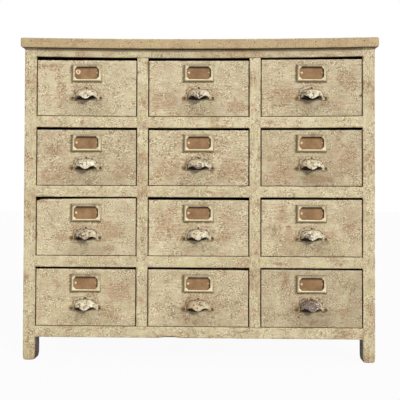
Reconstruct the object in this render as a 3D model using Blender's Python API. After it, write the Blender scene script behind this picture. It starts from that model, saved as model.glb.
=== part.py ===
"""Workshop drawer cabinet: a painted wooden carcass on four legs, with a grid of drawers
that slide out. Each drawer front carries a cast cup pull under a pressed label holder.

Metres, +Z up. The front faces -Y, and the floor is at Z = 0. The origin is under the middle
of the whole object. Rows are counted from the top and columns from the left.
"""

import math

import bmesh
import bpy
from mathutils import Vector
from mathutils.geometry import interpolate_bezier

MM = 0.001

# Grid of drawers
ROWS = 4
COLUMNS = 3
OPENING_W = 289 * MM
OPENING_H = 168 * MM
TOP_OPENING_EXTRA = 3 * MM

# Carcass
CARCASS_D = 410 * MM
LEG_H = 67 * MM
POST_W = 34 * MM
POST_D = 60 * MM
TOP_T = 27 * MM
TOP_SIDE_OVERHANG = 11 * MM
TOP_FRONT_OVERHANG = 13 * MM
TOP_EDGE_ROUND = 3 * MM
TOP_EDGE_STEPS = 2
SIDE_PANEL_T = 20 * MM
BACK_T = 10 * MM

# Front and rear frames
RAIL_H = 31.5 * MM
TOP_RAIL_H = 25 * MM
BOTTOM_RAIL_H = 31.5 * MM
MUNTIN_W = 31.5 * MM
MUNTIN_D = 27 * MM
REAR_RAIL_T = 27 * MM

# Boards inside that carry and guide the drawers
SHELF_T = 15 * MM
GUIDE_SETBACK = 3 * MM

# Joinery
JOINT_GAP = 0.3 * MM
TENON_L = 20 * MM
TENON_T = 12 * MM
TENON_SHOULDER = 6 * MM
MUNTIN_TENON_L = 12 * MM
MUNTIN_TENON_T = 10 * MM
PANEL_GROOVE = 10 * MM
SHELF_HOUSING = 5 * MM
BACK_REBATE = 12 * MM
OVERCUT = 2 * MM

# Drawers
DRAWER_SETBACK = 1.5 * MM
DRAWER_SIDE_GAP = 2.5 * MM
DRAWER_TOP_GAP = 6 * MM
DRAWER_FRONT_LIFT = 2 * MM
DRAWER_RUN_GAP = 0.4 * MM
DRAWER_REAR_SPACE = 25 * MM
DRAWER_FRONT_T = 20 * MM
DRAWER_SIDE_T = 11 * MM
DRAWER_SIDE_LAP = 12 * MM
DRAWER_SIDE_INSET = 1 * MM
DRAWER_SIDE_DROP = 6 * MM
DRAWER_BOTTOM_T = 6 * MM
DRAWER_BOTTOM_RAISE = 8 * MM

# Label holders
LABEL_W = 87 * MM
LABEL_H = 50 * MM
LABEL_DEPTH = 5 * MM
LABEL_SLOPE = 5 * MM
LABEL_FACE_T = 1.4 * MM
LABEL_WALL = 1.6 * MM
LABEL_SIDE_MARGIN = 3.5 * MM
LABEL_END_MARGIN = 4.5 * MM
LABEL_WINDOW_CHAMFER = 7 * MM
LABEL_DROP = 15 * MM

# Cup pulls
PULL_CUP_W = 62 * MM
PULL_CUP_H = 25 * MM
PULL_PROJECTION = 25 * MM
PULL_WALL = 2.5 * MM
PULL_POINT_DROP = 3.5 * MM
PULL_ARCH_RISE = 5.5 * MM
PULL_ARCH_PLACE = 0.66
PULL_ARCH_POWER = 3.2
PULL_PLAN_POWER = 2.4
PULL_PLATE_T = 2 * MM
PULL_RIM_W = 2.5 * MM
PULL_TOP_RIM_W = 6 * MM
PULL_CREST_H = 3 * MM
PULL_CREST_W = 9 * MM
PULL_EAR_REACH = 14 * MM
PULL_EAR_R = 5 * MM
PULL_WAIST_H = 15 * MM
PULL_SHOULDER_FULLNESS = 0.75
PULL_FLARE_FULLNESS = 0.4
PULL_LABEL_GAP = 12 * MM
PULL_STEPS = 18
PULL_RINGS = 4
PULL_CREST_STEPS = 2
PULL_SHOULDER_STEPS = 5
PULL_EAR_STEPS = 3
PULL_SMOOTH_ANGLE = 40
ROUND_FULLNESS = 0.5523

# Finishes, as sRGB from 0 to 255, roughness and metallic
FRAME_PAINT = ("frame_paint", (206, 191, 153), 0.75, 0.0)
TOP_PAINT = ("top_paint", (188, 164, 125), 0.7, 0.0)
DRAWER_PAINT = ("drawer_paint", (197, 178, 144), 0.75, 0.0)
BARE_WOOD = ("bare_wood", (158, 124, 86), 0.8, 0.0)
PULL_IRON = ("pull_iron", (206, 194, 166), 0.5, 0.4)
LABEL_STEEL = ("label_steel", (203, 188, 148), 0.55, 0.3)

# Sizes and levels that follow from those above
CARCASS_W = 2 * POST_W + COLUMNS * OPENING_W + (COLUMNS - 1) * MUNTIN_W
HALF_W = CARCASS_W / 2
OPENINGS_H = ROWS * OPENING_H + TOP_OPENING_EXTRA
POST_TOP = LEG_H + BOTTOM_RAIL_H + OPENINGS_H + (ROWS - 1) * RAIL_H + TOP_RAIL_H
FRONT_REACH = max(PULL_PROJECTION + JOINT_GAP - DRAWER_SETBACK, TOP_FRONT_OVERHANG)
FRONT_Y = (FRONT_REACH - CARCASS_D) / 2
BACK_Y = FRONT_Y + CARCASS_D
RAIL_END_X = HALF_W - POST_W - JOINT_GAP
RAIL_BACK_Y = FRONT_Y + POST_D
REAR_POST_Y = BACK_Y - POST_D
REAR_RAIL_BACK_Y = BACK_Y - BACK_T - JOINT_GAP
REAR_RAIL_Y = REAR_RAIL_BACK_Y - REAR_RAIL_T
PANEL_IN_X = HALF_W - POST_W + GUIDE_SETBACK
PANEL_OUT_X = PANEL_IN_X + SIDE_PANEL_T
PARTITION_T = MUNTIN_W - 2 * GUIDE_SETBACK
SHELF_FRONT_Y = RAIL_BACK_Y + JOINT_GAP
SHELF_BACK_Y = REAR_POST_Y - JOINT_GAP
SHELF_MIDDLE_Y = (SHELF_FRONT_Y + SHELF_BACK_Y) / 2
DRAWER_W = OPENING_W - 2 * DRAWER_SIDE_GAP
DRAWER_FRONT_TOP = OPENING_H - DRAWER_TOP_GAP
DRAWER_D = CARCASS_D - BACK_T - DRAWER_SETBACK - DRAWER_REAR_SPACE
LABEL_TOP_Z = DRAWER_FRONT_TOP - LABEL_DROP
PULL_CREST_Z = PULL_CUP_H + PULL_TOP_RIM_W + PULL_CREST_H
PULL_Z = LABEL_TOP_Z - LABEL_H - PULL_LABEL_GAP - PULL_CREST_Z


def column_x(column):
    """Middle of a column of drawers."""
    return (column - (COLUMNS - 1) / 2) * (OPENING_W + MUNTIN_W)


def muntin_x(muntin):
    """Middle of the upright between a column and the next one."""
    return (column_x(muntin) + column_x(muntin + 1)) / 2


def row_z(row):
    """Floor of the drawer openings in a row."""
    return LEG_H + BOTTOM_RAIL_H + (ROWS - 1 - row) * (OPENING_H + RAIL_H)


def linear(value):
    """One sRGB channel from 0 to 255 as the linear value that a shader takes."""
    share = value / 255
    return share / 12.92 if share <= 0.04045 else ((share + 0.055) / 1.055) ** 2.4


def material(finish):
    """The Principled material of a finish, made once."""
    name, colour, roughness, metallic = finish
    made = bpy.data.materials.get(name)
    if made is None:
        made = bpy.data.materials.new(name)
        made.use_nodes = True
        shader = made.node_tree.nodes["Principled BSDF"]
        shader.inputs["Base Color"].default_value = (*map(linear, colour), 1)
        shader.inputs["Roughness"].default_value = roughness
        shader.inputs["Metallic"].default_value = metallic
    return made


def box_mesh(boxes):
    """One mesh of separate boxes, each given by its lowest and its highest corner."""
    shape = bmesh.new()
    for low, high in boxes:
        low, high = Vector(low), Vector(high)
        corners = bmesh.ops.create_cube(shape, size=1.0)["verts"]
        bmesh.ops.scale(shape, vec=high - low, verts=corners)
        bmesh.ops.translate(shape, vec=(low + high) / 2, verts=corners)
    mesh = bpy.data.meshes.new("boxes")
    shape.to_mesh(mesh)
    shape.free()
    return mesh


def prism_mesh(outline, low_y, high_y):
    """A closed outline of (x, z) points, drawn clockwise as seen from the front, made a solid."""
    shape = bmesh.new()
    face = shape.faces.new([shape.verts.new((x, high_y, z)) for x, z in outline])
    grown = bmesh.ops.extrude_face_region(shape, geom=[face])["geom"]
    moved = [item for item in grown if isinstance(item, bmesh.types.BMVert)]
    bmesh.ops.translate(shape, vec=(0, low_y - high_y, 0), verts=moved)
    bmesh.ops.recalc_face_normals(shape, faces=shape.faces)
    mesh = bpy.data.meshes.new("prism")
    shape.to_mesh(mesh)
    shape.free()
    return mesh


def combined(mesh, other, operation):
    """A mesh with another one joined to it (UNION) or cut out of it (DIFFERENCE)."""
    base = bpy.data.objects.new("base", mesh)
    tool = bpy.data.objects.new("tool", other)
    for item in (base, tool):
        bpy.context.scene.collection.objects.link(item)
    boolean = base.modifiers.new("boolean", "BOOLEAN")
    boolean.operation = operation
    boolean.solver = "EXACT"
    boolean.object = tool
    graph = bpy.context.evaluated_depsgraph_get()
    made = bpy.data.meshes.new_from_object(base.evaluated_get(graph))
    for item in (base, tool):
        bpy.data.objects.remove(item)
    return made


def place(name, mesh, finish, location=(0, 0, 0), parent=None):
    """A named object of the cabinet."""
    made = bpy.data.objects.new(name, mesh)
    bpy.context.scene.collection.objects.link(made)
    if not mesh.materials:
        mesh.materials.append(material(finish))
    made.parent = parent
    made.location = location
    return made


def board(name, low, high, finish, joins=(), cuts=()):
    """A board between two corners, with boxes such as tenons joined to it and others cut out."""
    mesh = box_mesh([(low, high)])
    if joins:
        mesh = combined(mesh, box_mesh(joins), "UNION")
    if cuts:
        mesh = combined(mesh, box_mesh(cuts), "DIFFERENCE")
    middle = (Vector(low) + Vector(high)) / 2
    for vertex in mesh.vertices:
        vertex.co -= middle
    mesh.name = name
    return place(name, mesh, finish, middle)


def mirrored(side, low, high):
    """The box between two corners, drawn for the right side (1), or its mirror on the left (-1)."""
    if side > 0:
        return low, high
    return (-high[0], *low[1:]), (-low[0], *high[1:])


def rail_levels():
    """Lowest and highest level of each front rail, from the bottom rail up."""
    levels = [(LEG_H, LEG_H + BOTTOM_RAIL_H)]
    levels += [(row_z(row) - RAIL_H, row_z(row)) for row in reversed(range(ROWS - 1))]
    return [*levels, (POST_TOP - TOP_RAIL_H, POST_TOP)]


def rear_rail_levels():
    """Lowest and highest level of the two rear rails."""
    return [rail_levels()[0], rail_levels()[-1]]


def rail_tenon(middle_y, level, gap=0.0):
    """The box of a rail's tenons, which run right through it, or of their mortises with a gap."""
    low, high = level
    reach = RAIL_END_X + TENON_L + gap
    return (
        (-reach, middle_y - TENON_T / 2 - gap, low + TENON_SHOULDER - gap),
        (reach, middle_y + TENON_T / 2 + gap, high - TENON_SHOULDER + gap),
    )


def muntin_tenon(x, gap=0.0):
    """The box of an upright's tenons, from the bottom rail to the top one."""
    half = MUNTIN_W / 2 - TENON_SHOULDER + gap
    middle_y = FRONT_Y + MUNTIN_D / 2
    reach = MUNTIN_TENON_L + gap
    return (
        (x - half, middle_y - MUNTIN_TENON_T / 2 - gap, LEG_H + BOTTOM_RAIL_H - reach),
        (x + half, middle_y + MUNTIN_TENON_T / 2 + gap, POST_TOP - TOP_RAIL_H + reach),
    )


def panel_box(side, gap=0.0):
    """The box of a side panel, or of the grooves that hold it with a gap."""
    return mirrored(
        side,
        (PANEL_IN_X - gap, RAIL_BACK_Y - PANEL_GROOVE + JOINT_GAP - gap, LEG_H - gap),
        (PANEL_OUT_X + gap, REAR_POST_Y + PANEL_GROOVE - JOINT_GAP + gap, POST_TOP + gap),
    )


def shelf_box(row, gap=0.0):
    """The box of the shelf under a row, or of the housings that hold it with a gap."""
    reach = PANEL_IN_X + SHELF_HOUSING - JOINT_GAP + gap
    return (
        (-reach, SHELF_FRONT_Y - gap, row_z(row) - SHELF_T - gap),
        (reach, SHELF_BACK_Y + gap, row_z(row) + gap),
    )


def back_box(gap=0.0):
    """The box of the back panel, or of the rebates that hold it with a gap."""
    reach = HALF_W - POST_W + BACK_REBATE - JOINT_GAP + gap
    return (-reach, BACK_Y - BACK_T - gap, LEG_H - gap), (reach, BACK_Y, POST_TOP)


def lengthened(box, low=(0, 0, 0), high=(0, 0, 0)):
    """A box with its lowest and its highest corner moved, so that a cutter passes a face."""
    return Vector(box[0]) + Vector(low), Vector(box[1]) + Vector(high)


def build_posts():
    """Four corner posts, whose lower ends are the legs."""
    groove_up = (0, 0, OVERCUT)
    for side, hand in ((-1, "left"), (1, "right")):
        groove = lengthened(panel_box(side, JOINT_GAP), high=groove_up)
        front_mortises = [rail_tenon(FRONT_Y + POST_D / 2, level, JOINT_GAP) for level in rail_levels()]
        rear_mortises = [
            rail_tenon(REAR_RAIL_Y + REAR_RAIL_T / 2, level, JOINT_GAP) for level in rear_rail_levels()
        ]
        rebate = lengthened(back_box(JOINT_GAP), high=(0, OVERCUT, OVERCUT))
        for end, y, cuts in (
            ("front", FRONT_Y, [groove, *front_mortises]),
            ("rear", REAR_POST_Y, [groove, *rear_mortises, rebate]),
        ):
            low, high = mirrored(side, (HALF_W - POST_W, y, 0), (HALF_W, y + POST_D, POST_TOP))
            board(f"{end}_{hand}_post", low, high, FRAME_PAINT, cuts=cuts)


def build_front_frame():
    """Top, bottom and drawer rails, with uprights let into the front of the drawer rails."""
    levels = rail_levels()
    names = ["bottom_rail", *(f"drawer_rail_{row + 1}" for row in reversed(range(ROWS - 1))), "top_rail"]
    uprights = [muntin_x(muntin) for muntin in range(COLUMNS - 1)]
    for name, level in zip(names, levels):
        if name.startswith("drawer"):
            cuts = [
                (
                    (x - MUNTIN_W / 2 - JOINT_GAP, FRONT_Y - OVERCUT, level[0] - OVERCUT),
                    (x + MUNTIN_W / 2 + JOINT_GAP, FRONT_Y + MUNTIN_D + JOINT_GAP, level[1] + OVERCUT),
                )
                for x in uprights
            ]
        else:
            cuts = [muntin_tenon(x, JOINT_GAP) for x in uprights]
        low = (-RAIL_END_X, FRONT_Y, level[0])
        high = (RAIL_END_X, FRONT_Y + POST_D, level[1])
        tenon = rail_tenon(FRONT_Y + POST_D / 2, level)
        board(name, low, high, FRAME_PAINT, joins=[tenon], cuts=cuts)
    for muntin, x in enumerate(uprights):
        low = (x - MUNTIN_W / 2, FRONT_Y, levels[0][1] + JOINT_GAP)
        high = (x + MUNTIN_W / 2, FRONT_Y + MUNTIN_D, levels[-1][0] - JOINT_GAP)
        board(f"muntin_{muntin + 1}", low, high, FRAME_PAINT, joins=[muntin_tenon(x)])


def build_rear_frame():
    """Two rear rails, and the back panel in the rebates behind them."""
    for name, level in zip(("rear_bottom_rail", "rear_top_rail"), rear_rail_levels()):
        low = (-RAIL_END_X, REAR_RAIL_Y, level[0])
        high = (RAIL_END_X, REAR_RAIL_BACK_Y, level[1])
        tenon = rail_tenon(REAR_RAIL_Y + REAR_RAIL_T / 2, level)
        board(name, low, high, BARE_WOOD, joins=[tenon])
    board("back_panel", *back_box(), BARE_WOOD)


def build_side_panels():
    """Two side panels in the posts' grooves, with a housing for the end of each shelf."""
    housings = [shelf_box(row, JOINT_GAP) for row in range(ROWS)]
    for side, hand in ((-1, "left"), (1, "right")):
        board(f"{hand}_side_panel", *panel_box(side), FRAME_PAINT, cuts=housings)


def build_inner_boards():
    """Shelves that carry the drawers, halved over the partitions that guide them."""
    half = PARTITION_T / 2
    uprights = [muntin_x(muntin) for muntin in range(COLUMNS - 1)]
    slotted = range(ROWS - 1)
    for row in range(ROWS):
        box = shelf_box(row)
        slots = [
            (
                (x - half - JOINT_GAP, SHELF_MIDDLE_Y, box[0][2] - OVERCUT),
                (x + half + JOINT_GAP, SHELF_BACK_Y + OVERCUT, box[1][2] + OVERCUT),
            )
            for x in uprights
            if row in slotted
        ]
        board(f"shelf_{row + 1}", *box, BARE_WOOD, cuts=slots)
    for muntin, x in enumerate(uprights):
        low = (x - half, SHELF_FRONT_Y, row_z(ROWS - 1) + JOINT_GAP)
        high = (x + half, REAR_RAIL_Y - JOINT_GAP, POST_TOP)
        slots = [
            (
                (x - half - OVERCUT, SHELF_FRONT_Y - OVERCUT, row_z(row) - SHELF_T - JOINT_GAP),
                (x + half + OVERCUT, SHELF_MIDDLE_Y + JOINT_GAP, row_z(row) + JOINT_GAP),
            )
            for row in slotted
        ]
        board(f"partition_{muntin + 1}", low, high, BARE_WOOD, cuts=slots)


def build_top():
    """The top board, with its edges rounded."""
    reach = HALF_W + TOP_SIDE_OVERHANG
    seat = POST_TOP + JOINT_GAP
    top = board(
        "top_board",
        (-reach, FRONT_Y - TOP_FRONT_OVERHANG, seat),
        (reach, BACK_Y, seat + TOP_T),
        TOP_PAINT,
    )
    edges = top.modifiers.new("rounded_edges", "BEVEL")
    edges.width = TOP_EDGE_ROUND
    edges.segments = TOP_EDGE_STEPS


def drawer_mesh():
    """A drawer: the front, with the sides lapped into it, the back and the raised bottom.

    Its origin is on the front face, in the middle, at the floor of the opening.
    """
    half = DRAWER_W / 2
    side_out = half - DRAWER_SIDE_INSET
    side_in = side_out - DRAWER_SIDE_T
    side_top = DRAWER_FRONT_TOP - DRAWER_SIDE_DROP
    bottom_under = DRAWER_RUN_GAP + DRAWER_BOTTOM_RAISE
    front = ((-half, 0, DRAWER_FRONT_LIFT), (half, DRAWER_FRONT_T, DRAWER_FRONT_TOP))
    tray = (
        (-side_out, DRAWER_FRONT_T - DRAWER_SIDE_LAP, DRAWER_RUN_GAP),
        (side_out, DRAWER_D, side_top),
    )
    inside = (
        (-side_in, DRAWER_FRONT_T, bottom_under + DRAWER_BOTTOM_T),
        (side_in, DRAWER_D - DRAWER_SIDE_T, DRAWER_FRONT_TOP + OVERCUT),
    )
    underneath = (
        (-side_in, DRAWER_FRONT_T, DRAWER_RUN_GAP - OVERCUT),
        (side_in, DRAWER_D + OVERCUT, bottom_under),
    )
    mesh = combined(box_mesh([front]), box_mesh([tray]), "UNION")
    return combined(mesh, box_mesh([inside, underneath]), "DIFFERENCE")


def label_holder_mesh():
    """A pressed frame that takes a card from above, with its sides and lower edge sloping to its face.

    Its origin is on the drawer's face, in the middle of its lower edge.
    """
    half = LABEL_W / 2
    face_half = half - LABEL_SLOPE
    mesh = box_mesh([((-half, -LABEL_DEPTH, 0), (half, 0, LABEL_H))])
    for vertex in mesh.vertices:
        if vertex.co.y < 0:
            vertex.co.x = math.copysign(face_half, vertex.co.x)
            vertex.co.z = max(vertex.co.z, LABEL_SLOPE)
    card_slot = (
        (-face_half + LABEL_WALL, -LABEL_DEPTH + LABEL_FACE_T, LABEL_SLOPE + LABEL_WALL),
        (face_half - LABEL_WALL, OVERCUT, LABEL_H + OVERCUT),
    )
    right = face_half - LABEL_SIDE_MARGIN
    low, high = LABEL_SLOPE + LABEL_END_MARGIN, LABEL_H - LABEL_END_MARGIN
    cut = LABEL_WINDOW_CHAMFER
    window = [
        (-right + cut, high),
        (right - cut, high),
        (right, high - cut),
        (right, low + cut),
        (right - cut, low),
        (-right + cut, low),
        (-right, low + cut),
        (-right, high - cut),
    ]
    mesh = combined(mesh, box_mesh([card_slot]), "DIFFERENCE")
    through = prism_mesh(window, -LABEL_DEPTH - OVERCUT, OVERCUT)
    return combined(mesh, through, "DIFFERENCE")


def arch_point(turn, inset):
    """A point (x, z) of the cup's arch on its plate, inset into the cup's wall."""
    across, up = math.cos(turn), math.sin(turn)
    power = 2 / PULL_ARCH_POWER
    x = math.copysign(abs(across) ** power, across) * (PULL_CUP_W / 2 - inset)
    return x, max(up, 0.0) ** power * (PULL_CUP_H - inset)


def scallop(share):
    """Level of the cup's lower edge at a share of its half width: a lobe between two arches."""
    if share < PULL_ARCH_PLACE:
        climb = (1 - math.cos(math.pi * share / PULL_ARCH_PLACE)) / 2
        return climb * (PULL_POINT_DROP + PULL_ARCH_RISE) - PULL_POINT_DROP
    return PULL_ARCH_RISE * (1 - ((share - PULL_ARCH_PLACE) / (1 - PULL_ARCH_PLACE)) ** 2)


def cup_skin(shape, inset):
    """Rows of vertices over one side of the cup, from the arch on the plate to the lower edge."""
    seat = PULL_PLATE_T / 2
    reach = PULL_PROJECTION - inset - seat
    rows = []
    for step in range(PULL_STEPS + 1):
        turn = math.pi * step / PULL_STEPS
        x, arch_z = arch_point(turn, inset)
        if step in (0, PULL_STEPS):
            rows.append([shape.verts.new((x, -seat, 0))] * (PULL_RINGS + 1))
            continue
        edge_out = reach * math.sin(turn) ** (2 / PULL_PLAN_POWER)
        edge_z = scallop(abs(x) / (PULL_CUP_W / 2 - inset))
        row = []
        for ring in range(PULL_RINGS + 1):
            lean = math.pi / 2 * ring / PULL_RINGS
            out = seat + edge_out * math.sin(lean)
            row.append(shape.verts.new((x, -out, edge_z + (arch_z - edge_z) * math.cos(lean))))
        rows.append(row)
    return rows


def cup_mesh():
    """The cup: an outer and an inner skin, closed along the plate and along the lower edge."""
    shape = bmesh.new()
    outer = cup_skin(shape, 0.0)
    inner = cup_skin(shape, PULL_WALL)
    quads = []
    for step in range(PULL_STEPS):
        for skin in (outer, inner):
            for ring in range(PULL_RINGS):
                here, beyond = skin[step], skin[step + 1]
                quads.append((here[ring], here[ring + 1], beyond[ring + 1], beyond[ring]))
        for ring in (0, PULL_RINGS):
            quads.append(
                (outer[step][ring], outer[step + 1][ring], inner[step + 1][ring], inner[step][ring])
            )
    for quad in quads:
        shape.faces.new(dict.fromkeys(quad))
    bmesh.ops.recalc_face_normals(shape, faces=shape.faces)
    mesh = bpy.data.meshes.new("cup")
    shape.to_mesh(mesh)
    shape.free()
    return mesh


def bend(start, corner, end, steps, fullness=ROUND_FULLNESS):
    """Points of a curve that turns a corner, drawn towards it by its fullness, without the last."""
    start, corner, end = Vector(start), Vector(corner), Vector(end)
    handles = start.lerp(corner, fullness), end.lerp(corner, fullness)
    return interpolate_bezier(start, *handles, end, steps + 1)[:-1]


def plate_outline():
    """Outline of the pull's plate: a crest over the arch, and an ear at each lower corner."""
    side = PULL_CUP_W / 2 + PULL_RIM_W
    top = PULL_CUP_H + PULL_TOP_RIM_W
    crest_x, crest_z = PULL_CREST_W / 2, top + PULL_CREST_H / 2
    shoulder, waist = (PULL_CREST_W, top), (side, PULL_WAIST_H)
    ear = PULL_CUP_W / 2 + PULL_EAR_REACH
    ear_x = ear - PULL_EAR_R
    ear_under = -PULL_EAR_R
    inset = PULL_WALL / 2
    right = [
        *bend((0, PULL_CREST_Z), (crest_x, PULL_CREST_Z), (crest_x, crest_z), PULL_CREST_STEPS),
        *bend((crest_x, crest_z), (crest_x, top), shoulder, PULL_CREST_STEPS),
        *bend(shoulder, (side, top), waist, PULL_SHOULDER_STEPS, PULL_SHOULDER_FULLNESS),
        *bend(waist, (side, PULL_EAR_R), (ear_x, PULL_EAR_R), PULL_EAR_STEPS, PULL_FLARE_FULLNESS),
        *bend((ear_x, PULL_EAR_R), (ear, PULL_EAR_R), (ear, 0), PULL_EAR_STEPS),
        *bend((ear, 0), (ear, ear_under), (ear_x, ear_under), PULL_EAR_STEPS),
        (ear_x, ear_under),
        (PULL_CUP_W / 2 - inset, ear_under),
    ]
    left = [(-x, z) for x, z in reversed(right[1:])]
    arch = [arch_point(math.pi * step / PULL_STEPS, inset) for step in range(PULL_STEPS + 1)]
    return right + arch + left


def cup_pull_mesh():
    """A cast cup pull. Its origin is on the drawer's face, between the ends of the cup."""
    plate = prism_mesh(plate_outline(), -PULL_PLATE_T, 0)
    mesh = combined(plate, cup_mesh(), "UNION")
    mesh.shade_smooth()
    mesh.set_sharp_from_angle(angle=math.radians(PULL_SMOOTH_ANGLE))
    return mesh


def build_drawers():
    """The drawers, each parented with its pull and label holder to an empty that slides."""
    drawer = drawer_mesh()
    holder = label_holder_mesh()
    pull = cup_pull_mesh()
    for row in range(ROWS):
        for column in range(COLUMNS):
            tag = f"r{row + 1}c{column + 1}"
            slide = bpy.data.objects.new(f"slide_{tag}", None)
            bpy.context.scene.collection.objects.link(slide)
            slide.location = (column_x(column), FRONT_Y + DRAWER_SETBACK, row_z(row))
            place(f"drawer_box_{tag}", drawer, DRAWER_PAINT, parent=slide)
            label_seat = (0, -JOINT_GAP, LABEL_TOP_Z - LABEL_H)
            place(f"label_holder_{tag}", holder, LABEL_STEEL, label_seat, slide)
            place(f"cup_pull_{tag}", pull, PULL_IRON, (0, -JOINT_GAP, PULL_Z), slide)


def main():
    for item in list(bpy.data.objects):
        bpy.data.objects.remove(item)
    build_posts()
    build_front_frame()
    build_rear_frame()
    build_side_panels()
    build_inner_boards()
    build_top()
    build_drawers()


main()
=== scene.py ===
"""Looks of the workshop drawer cabinet: worn painted boards, drawers, card holders and cup pulls,
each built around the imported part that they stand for.

Metres, in the part's own frame: +Z is up, the front faces -Y and the floor is at Z = 0.
Rows are counted from the top and columns from the left.
"""

import math

import bmesh
import bpy
import numpy as np
from mathutils import Matrix, Vector, noise
from mathutils.geometry import interpolate_bezier


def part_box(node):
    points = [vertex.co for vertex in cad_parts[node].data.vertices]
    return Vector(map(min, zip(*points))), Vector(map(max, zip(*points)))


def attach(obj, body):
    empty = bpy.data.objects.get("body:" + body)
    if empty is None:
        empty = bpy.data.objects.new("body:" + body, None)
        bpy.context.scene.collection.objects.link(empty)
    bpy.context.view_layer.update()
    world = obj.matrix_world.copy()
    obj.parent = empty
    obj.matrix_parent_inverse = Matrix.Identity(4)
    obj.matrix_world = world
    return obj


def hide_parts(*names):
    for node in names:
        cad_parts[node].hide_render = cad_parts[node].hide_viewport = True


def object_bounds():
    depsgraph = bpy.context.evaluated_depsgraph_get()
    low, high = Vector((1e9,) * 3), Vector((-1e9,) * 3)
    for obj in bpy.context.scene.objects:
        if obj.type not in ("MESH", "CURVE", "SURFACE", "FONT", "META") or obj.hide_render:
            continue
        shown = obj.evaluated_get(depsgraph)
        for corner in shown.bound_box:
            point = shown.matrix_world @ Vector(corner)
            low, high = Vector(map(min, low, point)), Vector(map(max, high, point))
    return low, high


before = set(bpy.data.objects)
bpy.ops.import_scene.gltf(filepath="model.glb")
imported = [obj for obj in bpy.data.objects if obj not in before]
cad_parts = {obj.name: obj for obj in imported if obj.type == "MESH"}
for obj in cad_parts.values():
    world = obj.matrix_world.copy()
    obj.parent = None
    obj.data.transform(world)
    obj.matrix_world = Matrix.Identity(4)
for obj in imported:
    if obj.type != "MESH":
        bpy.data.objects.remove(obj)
cad_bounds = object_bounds()

MM = 0.001
X_AXIS, Y_AXIS, Z_AXIS = range(3)

# Differences too small to matter
NEAR = 1e-6
TINY = 1e-9

# Grid of drawers
ROWS = 4
COLUMNS = 3

# Camera: angles in degrees, lens and sensor in millimetres
CAMERA_PLACE = (67.2 * MM, -2493.1 * MM, 407.4 * MM)
CAMERA_YAW = -1.572
CAMERA_PITCH = 1.267
CAMERA_ROLL = 0.18
CAMERA_LENS = 72.91
CAMERA_SENSOR = 36
CAMERA_RISE = 125 * MM
CAMERA_DISTANCE = 2300 * MM

# Light and floor. A lamp has the side it comes from, its strength and how wide it is, in degrees
KEY_FROM = (0.42, -0.84, 0.5)
KEY_STRENGTH = 2.32
KEY_WIDTH = 11
FILL_FROM = (-0.6, 0.7, 0.5)
FILL_STRENGTH = 0.9
FILL_WIDTH = 60
AMBIENT = 0.36
FLOOR_REACH = 9.0
FLOOR_GLOW = 0.95
FLOOR_CLOUD = 800 * MM
FLOOR_ROUGH = 0.9

# Wear of the boards
BOARD_STEP = 9 * MM
HIDDEN_STEP = 16 * MM
EDGE_ROUND = 1.4 * MM
EDGE_LEVEL = 0.4
EDGE_CHIP = 3.2 * MM
EDGE_CHIP_SIZE = 13 * MM
EDGE_SOUND = 0.3
EDGE_WAVER = 0.4
EDGE_WAVER_SIZE = 5 * EDGE_CHIP_SIZE
DENT = 0.5 * MM
DENT_SIZE = 34 * MM
FOOT_ROUND = 7 * MM
FOOT_ROUND_H = 16 * MM
TOP_ROUND = 1.6 * MM
TOP_SAG = 5.4 * MM
TOP_SAG_DEPTH = 300 * MM
TOP_SHADE_H = 9 * MM
TOP_RAIL_DIRT = 0.13
TOP_RAIL_DRAW = (1, 1, 7)
TOP_END_ROUND = 4 * MM
RAIL_SAG = {"drawer_rail_1": 2.5 * MM}
PAINTED_JOINT = 3 * MM
PAINT_STEP = 0.2 * MM
PAINT_REACH = 2 * MM
PAINT_FADE = 3 * MM
FOOT_WORN_H = 80 * MM
FOOT_BARE_WAVER = 0.4
FOOT_BARE_START = 0.35
BLOTCH_SIZE = 70 * MM
BLOTCH_GAIN = 1.7
PATCH_CORE = 1.25
PATCH_WAVER = 0.35
PATCH_WAVER_SIZE = 26 * MM
CHANCE_REACH = 7.0
SEED_STEPS = (3.7, 1.3, 2.9)
CRACK_WAVER = 0.6
CRACK_BEND = 0.8
CRACK_W = 0.05
SHARP_ANGLE = 42
FRAME_DIRT = 0.09
FRAME_DIRT_H = 700 * MM
# Painted highlight along the rails' upper edges: how deep and how strong
RAIL_RIM = 6 * MM
RAIL_HIGHLIGHT = 0.8
RAIL_JOINT_SHARE = 0.9
RAIL_BITE = 5 * MM
RAIL_BITE_X = -80 * MM
RAIL_BITE_REACH = 30 * MM
RAIL_BITE_DEPTH = 6 * MM

# Nails and back boards. The top's nails are placed in mm to the right
NAIL_R = 1.7 * MM
NAIL_PROUD = 0.25 * MM
NAIL_STEPS = 12
TOP_NAIL_PLACES = (-478, -322, -164, 2, 158, 330, 468)
TOP_NAIL_DROP = 10 * MM
BACK_BOARDS = 6
BACK_BOARD_GAP = 1.2 * MM
BACK_BOARD_LAP = 8 * MM
BACK_NAIL_INSET = 16 * MM
BACK_ROUND = 0.8 * MM

# Drawers
FRONT_T = 20 * MM
SIDE_T = 11 * MM
SIDE_LAP = 12 * MM
SIDE_INSET = 1 * MM
SIDE_DROP = 6 * MM
BOTTOM_T = 6 * MM
BOTTOM_RAISE = 8 * MM
BOTTOM_BOARDS = 3
SLAT_ROUND = 0.8 * MM
SLAT_CHIP = 0.5 * MM
JOINT_GAP = 0.3 * MM
OVERCUT = 2 * MM
FRONT_STEP = 6 * MM
FRONT_FINE_STEP = 2 * MM
FRONT_FINE_MARGIN = 8 * MM
FRONT_LIFT = 1.0 * MM
FRONT_TOP_PAINT = 0.6 * MM
FRONT_TOP_REACH = 40 * MM
# Painted highlight along the fronts' upper edges: how deep and how strong
FRONT_RIM = 7 * MM
RIM_HIGHLIGHT = 0.6
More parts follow.
